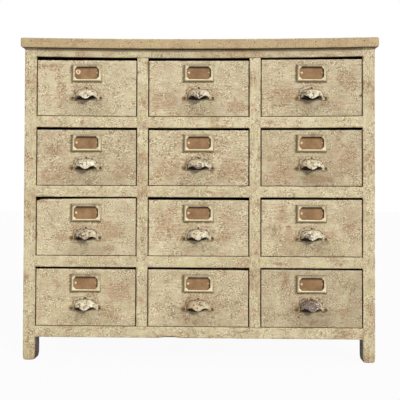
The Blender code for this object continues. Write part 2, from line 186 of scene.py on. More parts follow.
# Dirt from hands, and painted shade, round and below each pull
HAND_DIRT_SHADE = 0.27
HAND_DIRT_SHADE_CORE = 1.2
HAND_DIRT_SHADE_W = 3
HAND_DIRT_SHADE_H = 2
HAND_DIRT_SHADE_DROP = 0.7
RIGHT_DIRT = 0.07
# Dirt and painted shadow round holders and pulls, shifted down and to the left
SEAM_DIRT_SHADE = 1.1
PULL_SEAM_DIRT_SHADE = 1.0
SEAM_DIRT_SHADE_EVEN = 0.7
SEAM_DIRT_SHADE_WAVER = 0.6
SEAM_DIRT_SHADE_SIZE = 6 * MM
SEAM_DIRT_SHADE_W = 3.2 * MM
SEAM_SHADOW_SHIFT = (2 * MM, 1.1 * MM)
PULL_HALO = 16 * MM
COVER_FADE = 3
COVER_DROP = 0.1
SHADE_MOST = 0.97
SHADE_CORE = 4.2
SHADE_FADE = 3.6
SHADE_NARROW = 1.2
SHADE_LEFT = 0.3
SHADE_FLAT = 5
SHADE_DROP = {"r1": 0.2, "r2": 0.3, "r3": 0.6, "r4": 0.7}
CORNER_CHIPS = {"r3c1": 5 * MM}
CORNER_CHIP_W = 16 * MM
CORNER_CHIP_H = 10 * MM
SIDE_NAIL_LEVELS = (24 * MM, 80 * MM, 136 * MM)
SIDE_NAIL_INSET = 5 * MM

# Label holders, with a card and two screws
HOLDER_W = 87 * MM
HOLDER_H = 50 * MM
HOLDER_SLOPE = 5 * MM
HOLDER_DEPTH = 5 * MM
HOLDER_FACE_T = 1.4 * MM
HOLDER_WALL = 1.6 * MM
HOLDER_CORNER = 2 * MM
HOLDER_SOFT = 0.3 * MM
HOLDER_SLOT_X = 36 * MM
SLOT_INNER = 0.99
# Dirt and painted shade on the holders' left and lower slopes, and dirt on the right and top
HOLDER_SLOPE_DIRT_SHADE = 1.0
HOLDER_RIGHT_DIRT = 0.5
HOLDER_TOP_DIRT = 0.55
HOLDER_TOP_STAIN = 0.7
HOLDER_DIRT_SHADE_FADE = 0.6
WINDOW_SIDE = 3.5 * MM
WINDOW_LOW = 3 * MM
WINDOW_HIGH = 6 * MM
WINDOW_CUT = 7.5 * MM
CORNER_STEPS = 6
CARD_T = 0.5 * MM
CARD_GAP = 0.6 * MM
CARD_CURL = 0.35 * MM
CARD_CURL_SIZE = 40 * MM
CARD_STEP = 2 * MM
CARD_ROUND = 0.1 * MM
CARD_SHADE_W = 8 * MM
CARD_SHADE_RIGHT = 0.85
CARD_SHADE_GAIN = 2
CARD_SHADE_START = 0.2
CARD_SHADE_MOST = 0.9
LABEL_SCREW_X = 28.5 * MM
LABEL_SCREW_R = 3.4 * MM
LABEL_SCREW_H = 1.5 * MM
RING_TAG = "r1c1"
RING_PLACE = (-25 * MM, 4 * MM)
RING_IN_R = 2.2 * MM
RING_OUT_R = 7.2 * MM
RING_H = 0.7 * MM
RING_STEPS = 28

# Cup pulls
CUP_W = 62 * MM
CUP_H = 25 * MM
CUP_REACH = 25 * MM
CUP_WALL = 2.5 * MM
CUP_POINT_DROP = 3.5 * MM
CUP_ARCH_RISE = 5.5 * MM
CUP_ARCH_PLACE = 0.66
CUP_ARCH_POWER = 3.2
CUP_PLAN_POWER = 2.4
PLATE_T = 2 * MM
PLATE_RIM = 2.5 * MM
PLATE_TOP_RIM = 6 * MM
PLATE_BEVEL = 1.6 * MM
CREST_H = 3 * MM
CREST_W = 9 * MM
EAR_REACH = 14 * MM
EAR_R = 5 * MM
WAIST_H = 15 * MM
SHOULDER_FULLNESS = 0.75
FLARE_FULLNESS = 0.4
ROUND_FULLNESS = 0.5523
CUP_STEPS = 44
CUP_RINGS = 14
PULL_VOXEL = 0.8 * MM
PULL_SMOOTHING = 3
PULL_LUMP = 0.6 * MM
PULL_LUMP_SIZE = 6.5 * MM
PULL_LUMP_MOST = 0.1 * MM
PULL_PIT = 0.35 * MM
PULL_PIT_SIZE = 3 * MM
PIT_GAIN = 2.8
PIT_START = 0.6
PIT_MOST = 0.85
PULL_CHIP = 0.4 * MM
PULL_CHIP_SIZE = 5 * MM
CHIP_FINE = 2.4
CHIP_FINE_SHARE = 0.6
CHIP_GAIN = 4
PULL_SEATED = 0.5 * MM
CREASE = 0.1 * MM
CREASE_SHARE = 0.4
INSIDE_GAIN = 4
SEAM_W = 2.8 * MM
SEAM_SIZE = 9 * MM
SEAM_SHARE = 0.85
SEAM_GAIN = 1.6
SEAM_EVEN = 0.75
SEAM_WAVER = 0.8
RIM_DIRT = 0.2
RIM_SHARE = 0.6
PLATE_DIRT = 0.3
EAR_DIRT = 0.6
PLATE_TAN = 0.4
# A painted highlight on each cup's lower right tail, kept clear of creases, dirt and tan
TAIL_X = 29 * MM
TAIL_TOP = 10 * MM
TAIL_FADE = 3 * MM
TAIL_SHARE = 0.65
TAIL_END = 36 * MM
# How much darker each pull's left side is, as painted shade
PULL_LEFT_SHADE = 0.3
CREST_SCREW_R = 3.2 * MM
EAR_SCREW_R = 4.2 * MM
PULL_SCREW_H = 1.3 * MM
PULL_SCREW_SUNK = 0.2 * MM
CREST_SCREW_RISE = 4.2 * MM

# Screw heads, as shares of their radius and height
SCREW_SLOT = 0.22
SCREW_SLOT_DEPTH = 0.5
SCREW_SLOT_FLOOR = 0.25
SCREW_DOME = 0.8
SCREW_TURN_RATE = 40

# How much of each pull's paint has chipped off, how tanned the rest is, and where most has gone:
# in mm from the seat to the right and up, then how far it reaches
PULL_BARE = {
    "r1c1": 0.05, "r1c2": 0.11, "r1c3": 0.08,
    "r2c1": 0.06, "r2c2": 0.20, "r2c3": 0.05,
    "r3c1": 0.17, "r3c2": 0.04, "r3c3": 0.09,
    "r4c1": 0.03, "r4c2": 0.05, "r4c3": 0.62,
}
PULL_TAN = {
    "r1c1": 0.1, "r1c2": 0.35, "r1c3": 0.2,
    "r2c1": 0.0, "r2c2": 0.4, "r2c3": 0.3,
    "r3c1": 0.55, "r3c2": 0.3, "r3c3": 0.2,
    "r4c1": 0.2, "r4c2": 0.75, "r4c3": 0.5,
}
PULL_BARE_SPOTS = {
    "r1c2": (-4, 6, 20), "r1c3": (-22, 12, 12), "r2c2": (0, -2, 13),
    "r3c1": (-14, 6, 20), "r3c3": (-10, 4, 14), "r4c3": (-8, 8, 24),
}

# How much lower or higher each drawer front's upper edge is at its left and right end, in mm
FRONT_TOP_SHIFT = {
    "r1c1": (-1.5, -3.5), "r1c2": (-4.0, -4.0), "r1c3": (-1.0, 0.5),
    "r2c1": (-2.0, -2.6), "r2c2": (-2.8, -3.0), "r2c3": (-2.2, -1.4),
    "r3c1": (-1.0, 2.4), "r3c2": (-1.8, -2.2), "r3c3": (-0.5, 0.0),
    "r4c1": (0.4, -0.4), "r4c2": (0.2, -0.8), "r4c3": (1.2, 0.6),
}

# Worn patches on the drawer fronts, in mm: middle to the right and up, then half width, half height
RUBBED_PATCHES = {
    "r1c1": [(-92, 142, 60, 14), (-76, 70, 16, 90)],
    "r1c2": [(-95, 34, 60, 36), (112, 24, 40, 30)],
    "r1c3": [(-82, 62, 60, 44), (100, 92, 36, 40), (10, 100, 70, 16)],
    "r2c1": [(-86, 40, 62, 34), (98, 38, 44, 30), (-96, 96, 40, 20)],
    "r2c2": [(-84, 44, 70, 56), (84, 46, 60, 40)],
    "r2c3": [(-88, 52, 60, 70), (94, 74, 56, 70), (20, 20, 60, 20)],
    "r3c1": [(-128, 156, 24, 9), (-60, 54, 30, 18), (70, 70, 50, 50)],
    "r3c2": [(-82, 90, 50, 50), (78, 56, 36, 22), (92, 100, 36, 40)],
    "r3c3": [(-80, 116, 24, 34), (-58, 56, 30, 34), (52, 60, 24, 24), (104, 84, 30, 18)],
    "r4c1": [(92, 92, 60, 50), (62, 40, 40, 26), (-84, 122, 22, 26)],
    "r4c2": [(-92, 128, 22, 10), (30, 60, 50, 16)],
    "r4c3": [(-76, 132, 22, 26), (92, 44, 24, 14)],
}
STAINED_PATCHES = {
    "r1c1": [(62, 112, 18, 16), (80, 62, 44, 10)],
    "r1c2": [(-8, 22, 60, 24)],
    "r1c3": [(-134, 12, 30, 12), (-10, 22, 40, 16)],
    "r2c1": [(-112, 120, 34, 24), (60, 128, 60, 20)],
    "r2c2": [(-30, 10, 60, 12)],
    "r2c3": [(128, 10, 20, 16), (0, 34, 26, 16)],
    "r3c1": [(-92, 108, 14, 14), (-4, 26, 40, 20), (56, 10, 50, 10)],
    "r3c2": [(10, 30, 40, 18)],
    "r3c3": [(-106, 78, 40, 46), (30, 24, 40, 14)],
    "r4c1": [(-92, 78, 60, 26), (-10, 26, 50, 20)],
    "r4c2": [(-40, 40, 80, 60), (80, 60, 60, 60)],
    "r4c3": [(104, 118, 44, 36), (-20, 40, 110, 50), (-118, 30, 26, 60)],
}

# Spots on the drawer fronts where bare wood shows, given in the same way
BARE_PATCHES = {
    "r1c1": [(-100, 144, 44, 4), (86, 112, 18, 4)],
    "r2c2": [(-140, 132, 6, 14)],
    "r3c1": [(-126, 157, 22, 7), (-140, 132, 8, 5), (-140, 60, 5, 30)],
    "r3c3": [(-80, 122, 14, 20), (-60, 84, 14, 14)],
    "r4c2": [(-92, 130, 14, 5)],
    "r4c3": [(-76, 136, 12, 16)],
}

# Dark nicks in the drawer fronts, given in the same way
FRONT_NICKS = {"r1c3": [(140, 58, 3, 6)]}

# Rubbed, stained and bare places of the frame, in mm: to the right and above the floor, then half
# width, half height
FRAME_RUBBED = [
    (-430, 678, 26, 8), (-328, 682, 18, 10), (-160, 668, 14, 20), (222, 277, 40, 8), (150, 282, 12, 14),
    (487, 148, 10, 34), (-60, 72, 140, 8), (470, 80, 24, 14), (-480, 620, 10, 40), (60, 480, 60, 8),
    (-484, 420, 12, 50), (300, 492, 50, 6), (-250, 282, 60, 7), (490, 560, 8, 60), (20, 690, 50, 7),
]
FRAME_STAINED = [
    (-150, 672, 20, 24), (-422, 487, 40, 8), (-228, 494, 60, 7), (-484, 741, 10, 12), (-486, 473, 10, 14),
    (-162, 564, 8, 22), (392, 279, 40, 8), (166, 208, 8, 44), (-430, 80, 60, 10), (160, 560, 8, 40),
    (340, 684, 60, 8), (-160, 350, 10, 50), (484, 330, 10, 60), (90, 76, 70, 8),
]
FRAME_BARE = [
    (222, 277, 44, 9), (-430, 678, 30, 9), (150, 282, 14, 16), (-328, 682, 16, 12), (-60, 70, 120, 8),
    (468, 76, 26, 14), (60, 484, 40, 8), (300, 690, 30, 8), (-484, 240, 10, 20),
]

# Drawer fronts whose paint is fresher, or dirtier, than that of the rest
FRESH_FRONTS = {"r1c1": 0.4, "r1c2": 0.2, "r3c1": 0.3, "r3c2": 0.15}
DIRTY_FRONTS = {"r1c3": 0.04, "r2c1": 0.04, "r2c3": 0.05, "r4c2": 0.03, "r4c3": 0.12}

# Colours, as sRGB from 0 to 255
CREAM = (216, 200, 165)
CREAM_DULL = (196, 175, 142)
CREAM_PALE = (246, 235, 198)
FRAME_CREAM = (224, 211, 174)
FRAME_DULL = (201, 184, 147)
RUBBED = (182, 145, 112)
STAIN = (168, 146, 108)
SMUDGE = (134, 111, 78)
BARE = (164, 126, 98)
GRIT = (138, 118, 86)
SPECK = (104, 80, 54)
# Dark dirt, and painted shade inside and beneath the pulls and on the cards under their frames
GRIME_AND_SHADE = (40, 22, 4)
# Brown dirt, and painted shade under the top board, on the holders' left and lower slopes and round holders
# and pulls
SOIL_AND_SHADE = (92, 68, 14)
PINKISH = (214, 172, 140)
GREENISH = (213, 205, 142)
# Bare wood in the gaps, dark as painted shade
EDGE_WOOD_IN_SHADE = (60, 44, 30)
TAN = (198, 174, 133)
TAN_DULL = (182, 157, 117)
TAN_PALE = (216, 193, 152)
WOOD = (142, 108, 72)
WOOD_DARK = (92, 66, 42)
# Bare wood inside, dark as painted shade in the gaps
WOOD_INSIDE_SHADE = (58, 42, 29)
IRON = (152, 134, 122)
IRON_DARK = (50, 40, 34)
IRON_DULL = (86, 72, 70)
PULL_CREASE = (88, 60, 34)
PULL_PAINT = (250, 244, 216)
PULL_PAINT_DULL = (206, 190, 158)
PULL_TANNED = (186, 158, 116)
PULL_DIRT = (128, 100, 66)
# Painted shade inside the cups
PULL_INSIDE_SHADE = (24, 12, 3)
HOLDER_CREAM = (242, 229, 190)
HOLDER_DULL = (226, 209, 167)
CARD = (168, 132, 93)
CARD_DULL = (136, 104, 72)
CARD_SHADE = (66, 40, 34)
# Label screws: a lit copy with painted glints for the left ones, and a shaded copy for the right ones
LIT_BRASS = (242, 222, 186)
LIT_BRASS_DULL = (186, 152, 114)
SCREW_OLIVE = (118, 94, 46)
SCREW_SHADE = (64, 50, 28)
SHADED_SCREW_TAN = (196, 158, 120)
RUST = (70, 48, 33)
FLOOR_GREY = (188, 188, 188)
FLOOR_PALE = (196, 196, 196)


def linear(colour):
    """A colour from sRGB to the linear values that a shader takes."""
    shares = [value / 255 for value in colour]
    curve = [share / 12.92 if share <= 0.04045 else ((share + 0.055) / 1.055) ** 2.4 for share in shares]
    return curve + [1]


def tag_of(row, column):
    """The part of a drawer's names that tells where it is."""
    return f"r{row + 1}c{column + 1}"


def unit(values):
    """Values held between 0 and 1."""
    return np.clip(values, 0, 1)


def field(points, size, seed=0.0):
    """Smooth noise from about -1 to 1 at each point, with features of a size."""
    shift = Vector([seed * step for step in SEED_STEPS])
    return np.array([noise.noise(Vector(point) / size + shift) for point in points])


class Form:
    """A mesh in the making: points, faces, and a named number for each point."""

    def __init__(self, points, faces, **marks):
        self.points = np.asarray(points, float)
        self.faces = [tuple(face) for face in faces]
        self.marks = marks

    x = property(lambda self: self.points[:, X_AXIS])
    y = property(lambda self: self.points[:, Y_AXIS])
    z = property(lambda self: self.points[:, Z_AXIS])

    def deepen(self, name, values):
        """Raises a mark to values that are above it."""
        self.marks[name] = np.maximum(self.marks[name], values)

    def moved(self, by):
        """A copy of the form in another place."""
        return Form(self.points + np.asarray(by, float), self.faces, **self.marks)


def joined(forms):
    """Several forms as one. A mark that a form lacks is 0 there."""
    names = sorted({name for form in forms for name in form.marks})
    marks = {
        name: np.concatenate([form.marks.get(name, np.zeros(len(form.points))) for form in forms])
        for name in names
    }
    faces, start = [], 0
    for form in forms:
        faces += [tuple(corner + start for corner in face) for face in form.faces]
        start += len(form.points)
    return Form(np.concatenate([form.points for form in forms]), faces, **marks)


def piece(name, parts, slot, body, *nodes):
    """A piece of the cabinet from pairs of a form and its material, riding on a body."""
    whole = joined([form for form, _ in parts])
    mesh = bpy.data.meshes.new(name)
    mesh.from_pydata(whole.points.tolist(), [], whole.faces)
    for mark, values in whole.marks.items():
        mesh.attributes.new(mark, "FLOAT", "POINT").data.foreach_set("value", values.astype(np.float32))
    indices = []
    for form, finish in parts:
        if finish.name not in mesh.materials:
            mesh.materials.append(finish)
        indices += [mesh.materials.find(finish.name)] * len(form.faces)
    mesh.polygons.foreach_set("material_index", indices)
    mesh.shade_smooth()
    mesh.set_sharp_from_angle(angle=math.radians(SHARP_ANGLE))
    made = bpy.data.objects.new(name, mesh)
    bpy.context.scene.collection.objects.link(made)
    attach(made, body)
    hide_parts(*nodes)
    return made


# Worn boards


def levels(stops, step, near):
    """Levels of a lattice along one axis: the stops, two more beside each, and even steps between."""
    found = []
    for low, high in zip(stops, stops[1:]):
        if high - low > 3 * near:
            count = max(1, round((high - low - 2 * near) / step))
            inner = np.linspace(low + near, high - near, count + 1)
            found += [low, low + EDGE_LEVEL * near, *inner, high - EDGE_LEVEL * near]
        else:
            found.append(low)
    return np.array([*found, stops[-1]])


def finer(line, low, high, step):
    """Levels of a lattice, with more of them between two places, clear of those that are there."""
    more = [level for level in np.arange(low, high, step) if np.abs(line - level).min() > step / 3]
    return np.sort(np.concatenate([line, more]))


def filled_cells(lines, boxes):
    """Which cells of a lattice lie in any of the boxes."""
    filled = np.zeros([len(line) - 1 for line in lines], bool)
    for low, high in boxes:
        inside = []
        for axis, line in enumerate(lines):
            middles = (line[1:] + line[:-1]) / 2
            inside.append((middles > low[axis]) & (middles < high[axis]))
        filled |= inside[0][:, None, None] & inside[1][None, :, None] & inside[2][None, None, :]
    return filled


def room(filled, lines, axis):
    """How far the solid goes on from each lattice point, ahead and behind along an axis."""
    cells = np.pad(np.moveaxis(filled, axis, 0), ((0, 0), (1, 1), (1, 1)))
    solid = cells[:, :-1, :-1] | cells[:, 1:, :-1] | cells[:, :-1, 1:] | cells[:, 1:, 1:]
    gaps = np.diff(lines[axis])
    ahead = np.zeros((len(gaps) + 1, *solid.shape[1:]))
    behind = np.zeros_like(ahead)
    for index, gap in enumerate(gaps):
        behind[index + 1] = np.where(solid[index], behind[index] + gap, 0)
    for index in reversed(range(len(gaps))):
        ahead[index] = np.where(solid[index], ahead[index + 1] + gaps[index], 0)
    return np.moveaxis(ahead, 0, axis), np.moveaxis(behind, 0, axis)


def shell(filled):
    """The lattice points on the surface of the filled cells, and the quads between them."""
    shape = np.array(filled.shape) + 1
    quads = []
    for axis in range(3):
        cells = np.moveaxis(filled, axis, 0).astype(int)
        change = np.diff(np.pad(cells, ((1, 1), (0, 0), (0, 0))), axis=0)
        others = [other for other in range(3) if other != axis]
        for sign in (1, -1):
            plane, first, second = np.nonzero(change == sign)
            corners = []
            for step_first, step_second in ((0, 0), (1, 0), (1, 1), (0, 1)):
                index = np.zeros((len(plane), 3), int)
                index[:, axis] = plane
                index[:, others[0]] = first + step_first
                index[:, others[1]] = second + step_second
                corners.append(np.ravel_multi_index(index.T, shape))
            outward = (sign < 0) != (axis == 1)
            quads.append(np.stack(corners if outward else corners[::-1], 1))
    quads = np.concatenate(quads)
    used, faces = np.unique(quads, return_inverse=True)
    return np.stack(np.unravel_index(used, shape), 1), faces.reshape(quads.shape)


def board(
    boxes, cuts=(), step=BOARD_STEP, rounding=EDGE_ROUND, chips=EDGE_CHIP, wear=None, seed=0.0, fine=()
):
    """A worn board made of boxes, less those cut out of it, with rounded, chipped edges and dents.

    Its mark "edge" is each point's distance from the nearest edge. Where wear is given, it turns
    the points and their rounding into the rounding that they get. Its points lie closer together
    within the fine ranges, each an axis, two ends and a step.
    """
    lows, highs = np.array([box[0] for box in boxes]).min(0), np.array([box[1] for box in boxes]).max(0)
    lines = []
    for axis in range(3):
        stops = {round(float(corner[axis]), 7) for box in (*boxes, *cuts) for corner in box}
        inside = [stop for stop in sorted(stops) if lows[axis] - NEAR <= stop <= highs[axis] + NEAR]
        lines.append(levels(inside, step, rounding + chips / 2))
    for axis, low, high, close in fine:
        lines[axis] = finer(lines[axis], low, high, close)
    filled = filled_cells(lines, boxes) & ~filled_cells(lines, cuts)
    index, faces = shell(filled)
    points = np.stack([lines[axis][index[:, axis]] for axis in range(3)], 1)
    ahead, behind = np.zeros_like(points), np.zeros_like(points)
    for axis in range(3):
        for found, target in zip(room(filled, lines, axis), (ahead, behind)):
            target[:, axis] = found[tuple(index.T)]
    edge = np.sort(np.minimum(ahead, behind), 1)[:, 1]
    worn = rounding * (1 + EDGE_WAVER * field(points, EDGE_WAVER_SIZE, seed))
    worn += chips * unit(field(points, EDGE_CHIP_SIZE, seed + 1) - EDGE_SOUND)
    if wear is not None:
        worn = wear(points, worn)
    inset = np.clip(worn[:, None] - ahead, 0, None) - np.clip(worn[:, None] - behind, 0, None)
    reach = np.linalg.norm(inset, axis=1)
    share = np.minimum(worn / np.maximum(reach, TINY), 1)
    dents = DENT * unit(field(points, DENT_SIZE, seed + 2))
    points += inset * (share - 1)[:, None]
    points -= inset * (dents / np.maximum(reach, TINY))[:, None]
    return Form(points, faces, edge=edge)


def bands(rows, count, closed=False):
    """Quads between rings of points that follow one another, and from the last to the first if closed."""
    faces = []
    for row in range(rows if closed else rows - 1):
        here, beyond = row * count, (row + 1) % rows * count
        for step in range(count):
            after = (step + 1) % count
            faces.append((here + step, beyond + step, beyond + after, here + after))
    return faces


def nail(place, axis, radius=NAIL_R, proud=NAIL_PROUD):
    """A nail's head, a low dome on a short shank, at a place on a face that looks along an axis."""
    rings = [(0.5, 0.86), (0.85, 0.5), (1.0, 0.0), (1.0, -2.0)]
    turn = Vector(axis).to_track_quat("Z", "Y")
    points = []
    for share, height in rings:
        for step in range(NAIL_STEPS):
            angle = math.tau * step / NAIL_STEPS
            local = (radius * share * math.cos(angle), radius * share * math.sin(angle), proud * height)
            points.append(Vector(place) + turn @ Vector(local))
    top = len(points)
    points.append(Vector(place) + turn @ Vector((0, 0, proud)))
    faces = [(top, step, (step + 1) % NAIL_STEPS) for step in range(NAIL_STEPS)]
    faces += bands(len(rings), NAIL_STEPS)
    faces.append(tuple(reversed(range(top - NAIL_STEPS, top))))
    return Form(points, faces)


# Materials


class Nodes:
    """A node tree, with short ways to add to it."""

    def __init__(self, tree):
        self.tree = tree

    def add(self, kind, settings=None, **inputs):
        """A new node, with its settings, and its inputs set or linked."""
        made = self.tree.nodes.new("ShaderNode" + kind)
        for name, value in (settings or {}).items():
            setattr(made, name, value)
        for name, value in inputs.items():
            self.plug(made.inputs[name.replace("_", " ")], value)
        return made

    def plug(self, socket, value):
        """Links a socket to another one, or sets its value."""
        if isinstance(value, bpy.types.NodeSocket):
            self.tree.links.new(value, socket)
        else:
            socket.default_value = value

    def math(self, operation, first, second, kind="Math"):
        """A sum, product or the like of two numbers, or of two vectors if the kind says so."""
        made = self.add(kind, {"operation": operation})
        self.plug(made.inputs[0], first)
        self.plug(made.inputs[1], second)
        return made.outputs[0]

    def scaled(self, value, share):
        """A value times a share."""
        return self.math("MULTIPLY", value, share)

    def line(self, value, gain, start):
        """A value times a gain, from a start."""
        return self.math("ADD", self.scaled(value, gain), start)

    def total(self, first, *others):
        """A value, and others that each have a share in it."""
        for value, share in others:
            first = self.math("ADD", first, self.scaled(value, share))
        return first

    def span(self, value, low, high):
        """A value eased from 0 at its low end to 1 at its high end."""
        made = self.add("MapRange", {"interpolation_type": "SMOOTHSTEP"}, Value=value)
        made.inputs["From Min"].default_value = low
        made.inputs["From Max"].default_value = high
        return made.outputs[0]

    def veil(self, value, low, high, share):
        """A value eased from 0 at its low end to a share at its high end."""
        return self.scaled(self.span(value, low, high), share)

    def blend(self, share, first, second):
        """A mix of two colours, each a socket or sRGB values."""
        made = self.add("Mix", {"data_type": "RGBA"}, Factor=share)
        for socket, value in ((made.inputs[6], first), (made.inputs[7], second)):
            self.plug(socket, value if isinstance(value, bpy.types.NodeSocket) else linear(value))
        return made.outputs[2]

    def layered(self, colour, layers):
        """A colour under layers, each a share and a colour, the topmost last."""
        for share, tone in layers:
            colour = self.blend(share, colour, tone)
        return colour

    def mark(self, name):
        """A number that the mesh holds for each point."""
        return self.add("Attribute", {"attribute_name": name}).outputs["Fac"]

    def show(self, share, first, second, output):
        """Sends a mix of two shaders to the surface of an output."""
        mixed = self.add("MixShader", Fac=share)
        self.tree.links.new(first.outputs[0], mixed.inputs[1])
        self.tree.links.new(second.outputs[0], mixed.inputs[2])
        self.tree.links.new(mixed.outputs[0], self.tree.nodes[output].inputs["Surface"])

    def background_share(self):
        """1 for rays that see the background: from the camera, or by a reflection or through glass."""
        path = self.add("LightPath")
        share = path.outputs["Is Camera Ray"]
        for kind in ("Is Glossy Ray", "Is Transmission Ray"):
            share = self.math("MAXIMUM", share, path.outputs[kind])
        return share


class Finish(Nodes):
    """A material in the making, whose noise follows each point's place in its piece.

    The noise is shifted by chance from piece to piece, unless told otherwise.
    """

    def __init__(self, name, shifted=True):
        self.material = bpy.data.materials.new(name)
        self.material.use_nodes = True
        super().__init__(self.material.node_tree)
        self.shader = self.tree.nodes["Principled BSDF"]
        self.place = self.add("TexCoord").outputs["Object"]
        if shifted:
            chance = self.add("ObjectInfo").outputs["Random"]
            shift = self.add("CombineXYZ", X=chance, Y=self.scaled(chance, CHANCE_REACH), Z=chance)
            self.place = self.math("ADD", self.place, shift.outputs[0], "VectorMath")

    def mottle(self, size, detail=3.0, roughness=0.55, stretch=(1, 1, 1), warp=0.0):
        """Noise with features of a size, drawn out along the axes by their stretch."""
        rates = [1 / (size * share) for share in stretch]
        drawn = self.math("MULTIPLY", self.place, rates, "VectorMath")
        made = self.add(
            "TexNoise", Vector=drawn, Scale=1.0, Detail=detail, Roughness=roughness, Distortion=warp
        )
        return made.outputs["Fac"]

    def cracks(self, size):
        """1 along thin wavering lines that part the surface into pieces of a size, and 0 elsewhere."""
        waver = self.add("TexNoise", Vector=self.place, Scale=CRACK_WAVER / size, Detail=4.0, Roughness=0.6)
        bent = self.math("MULTIPLY", waver.outputs["Color"], [CRACK_BEND * size] * 3, "VectorMath")
        moved = self.math("ADD", self.place, bent, "VectorMath")
        made = self.add("TexVoronoi", {"feature": "DISTANCE_TO_EDGE"}, Vector=moved, Scale=1 / size)
        return self.span(made.outputs["Distance"], CRACK_W, 0.0)

    def dressed(self, colour, roughness, height, depth, gloss=0.5):
        """The material with its colour, roughness, gloss and bump: a height, and its depth in metres."""
        self.plug(self.shader.inputs["Base Color"], colour)
        self.plug(self.shader.inputs["Roughness"], roughness)
        bump = self.add("Bump", Height=height, Distance=depth)
        self.plug(self.shader.inputs["Normal"], bump.outputs[0])
        self.shader.inputs["Specular IOR Level"].default_value = gloss
        return self.material


def along(axis, length):
    """How noise is drawn out along the grain."""
    return tuple(length if other == axis else 1 for other in range(3))


def old_paint(
    name, grain, light=CREAM, dull=CREAM_DULL, pale=CREAM_PALE, wear=0.06, flecks=1.5, tint=0.4
):
    """Old paint on a board whose grain runs along an axis: mottled, rubbed, smudged, flecked and cracked.

    The marks say where it is rubbed, stained, grimy or painted with shade, and where it was never painted.
    Each veil of colour starts at one level of its noise and is full, at its share, at another.
    """
    paint = Finish(name)
    cloud = paint.mottle(48 * MM, detail=6, roughness=0.6, warp=0.3)
    wash = paint.mottle(15 * MM, detail=5, roughness=0.6, stretch=along(grain, 1.6))
    patch = paint.mottle(34 * MM, detail=7, roughness=0.66, warp=0.6)
    figure = paint.mottle(4.5 * MM, detail=4, roughness=0.6, stretch=along(grain, 12))
    smudge = paint.mottle(13 * MM, detail=5, roughness=0.62, warp=0.5)
    streak = paint.mottle(2.6 * MM, detail=3, stretch=along(grain, 14))
    grit = paint.mottle(2.6 * MM, detail=3, roughness=0.6, stretch=along(grain, 1.5), warp=0.2)
    hue = paint.mottle(30 * MM, detail=4, roughness=0.62, warp=0.4)
    crumb = paint.mottle(5 * MM, detail=2, roughness=0.7)
    scratch = paint.mottle(1.7 * MM, detail=2, stretch=along(grain, 20), warp=0.2)

    # Where the paint is rough, rubbed, smudged, cracked or worn off
    rough = paint.line(paint.span(patch, 0.44, 0.60), 0.75 * flecks, 0.25 * flecks)
    edge = paint.span(paint.mark("edge"), 5 * MM, 0.0)
    rub = paint.mark("rub")
    rubbed = paint.total(patch, (rub, 0.25), (edge, 0.12), (grit, 0.25), (figure, 0.6), (wash, 0.35))
    rubbed = paint.span(rubbed, 1.25 - wear, 1.39 - wear)
    smudged = paint.total(smudge, (paint.mark("stain"), 0.13))
    dark_grit = paint.scaled(paint.span(grit, 0.50, 0.34), rough)
    pale_grit = paint.scaled(paint.span(grit, 0.50, 0.66), rough)
    pale_grit = paint.scaled(pale_grit, paint.line(rubbed, -0.35, 1.0))
    cracked = paint.scaled(paint.cracks(26 * MM), paint.span(cloud, 0.52, 0.4))
    worn_off = paint.total(patch, (paint.mark("bare"), 0.42), (figure, 0.6), (wash, 0.35))

    colour = paint.layered(paint.blend(paint.span(cloud, 0.36, 0.64), dull, light), [
        (paint.veil(wash, 0.52, 0.76, 0.6), pale),
        (paint.veil(wash, 0.48, 0.24, 0.4), STAIN),
        (paint.veil(hue, 0.50, 0.70, tint), PINKISH),
        (paint.veil(hue, 0.50, 0.30, tint), GREENISH),
        # Fresher paint, and a painted highlight along upper edges
        (paint.scaled(paint.mark("fresh"), 0.5), pale),
        (paint.scaled(rubbed, 0.7), RUBBED),
        (paint.veil(smudged, 0.62, 0.71, 0.6), SMUDGE),
        (paint.veil(streak, 0.5, 0.75, 0.45), STAIN),
        (paint.veil(streak, 0.46, 0.25, 0.35), pale),
        (paint.scaled(dark_grit, 0.85), GRIT),
        (paint.scaled(pale_grit, 0.9), pale),
        (paint.scaled(cracked, 0.22), SPECK),
        (paint.veil(scratch, 0.64, 0.74, 0.55), SMUDGE),
        (paint.veil(worn_off, 1.30, 1.42, 0.85), BARE),
        (paint.veil(crumb, 0.66, 0.76, 0.6), SPECK),
        # Dirt, and painted shade under the top board and round holders and pulls
        (paint.mark("soil"), SOIL_AND_SHADE),
        # Dirt, and painted shade in and under the pulls
        (paint.mark("grime"), GRIME_AND_SHADE),
        # Bare wood, dark as painted shade deep in the gaps
        (paint.mark("unpainted"), EDGE_WOOD_IN_SHADE),
    ])
    height = paint.math("SUBTRACT", paint.scaled(paint.math("ADD", streak, grit), 0.5), rubbed)
    return paint.dressed(colour, paint.line(rubbed, 0.2, 0.55), height, 0.3 * MM, gloss=0.3)


def bare_wood(name, grain, light=WOOD, dark=WOOD_DARK):
    """Unpainted old wood whose grain runs along an axis."""
    wood = Finish(name)
    cloud = wood.mottle(80 * MM, detail=4)
    streak = wood.mottle(5 * MM, detail=5, roughness=0.65, stretch=along(grain, 24), warp=0.4)
    pore = wood.mottle(1.6 * MM, detail=2, stretch=along(grain, 18))
    colour = wood.layered(wood.blend(wood.span(streak, 0.3, 0.7), dark, light), [
        (wood.veil(cloud, 0.45, 0.75, 0.45), STAIN),
        (wood.veil(pore, 0.58, 0.7, 0.5), dark),
    ])
    return wood.dressed(colour, wood.line(streak, 0.2, 0.65), pore, 0.3 * MM, gloss=0.25)


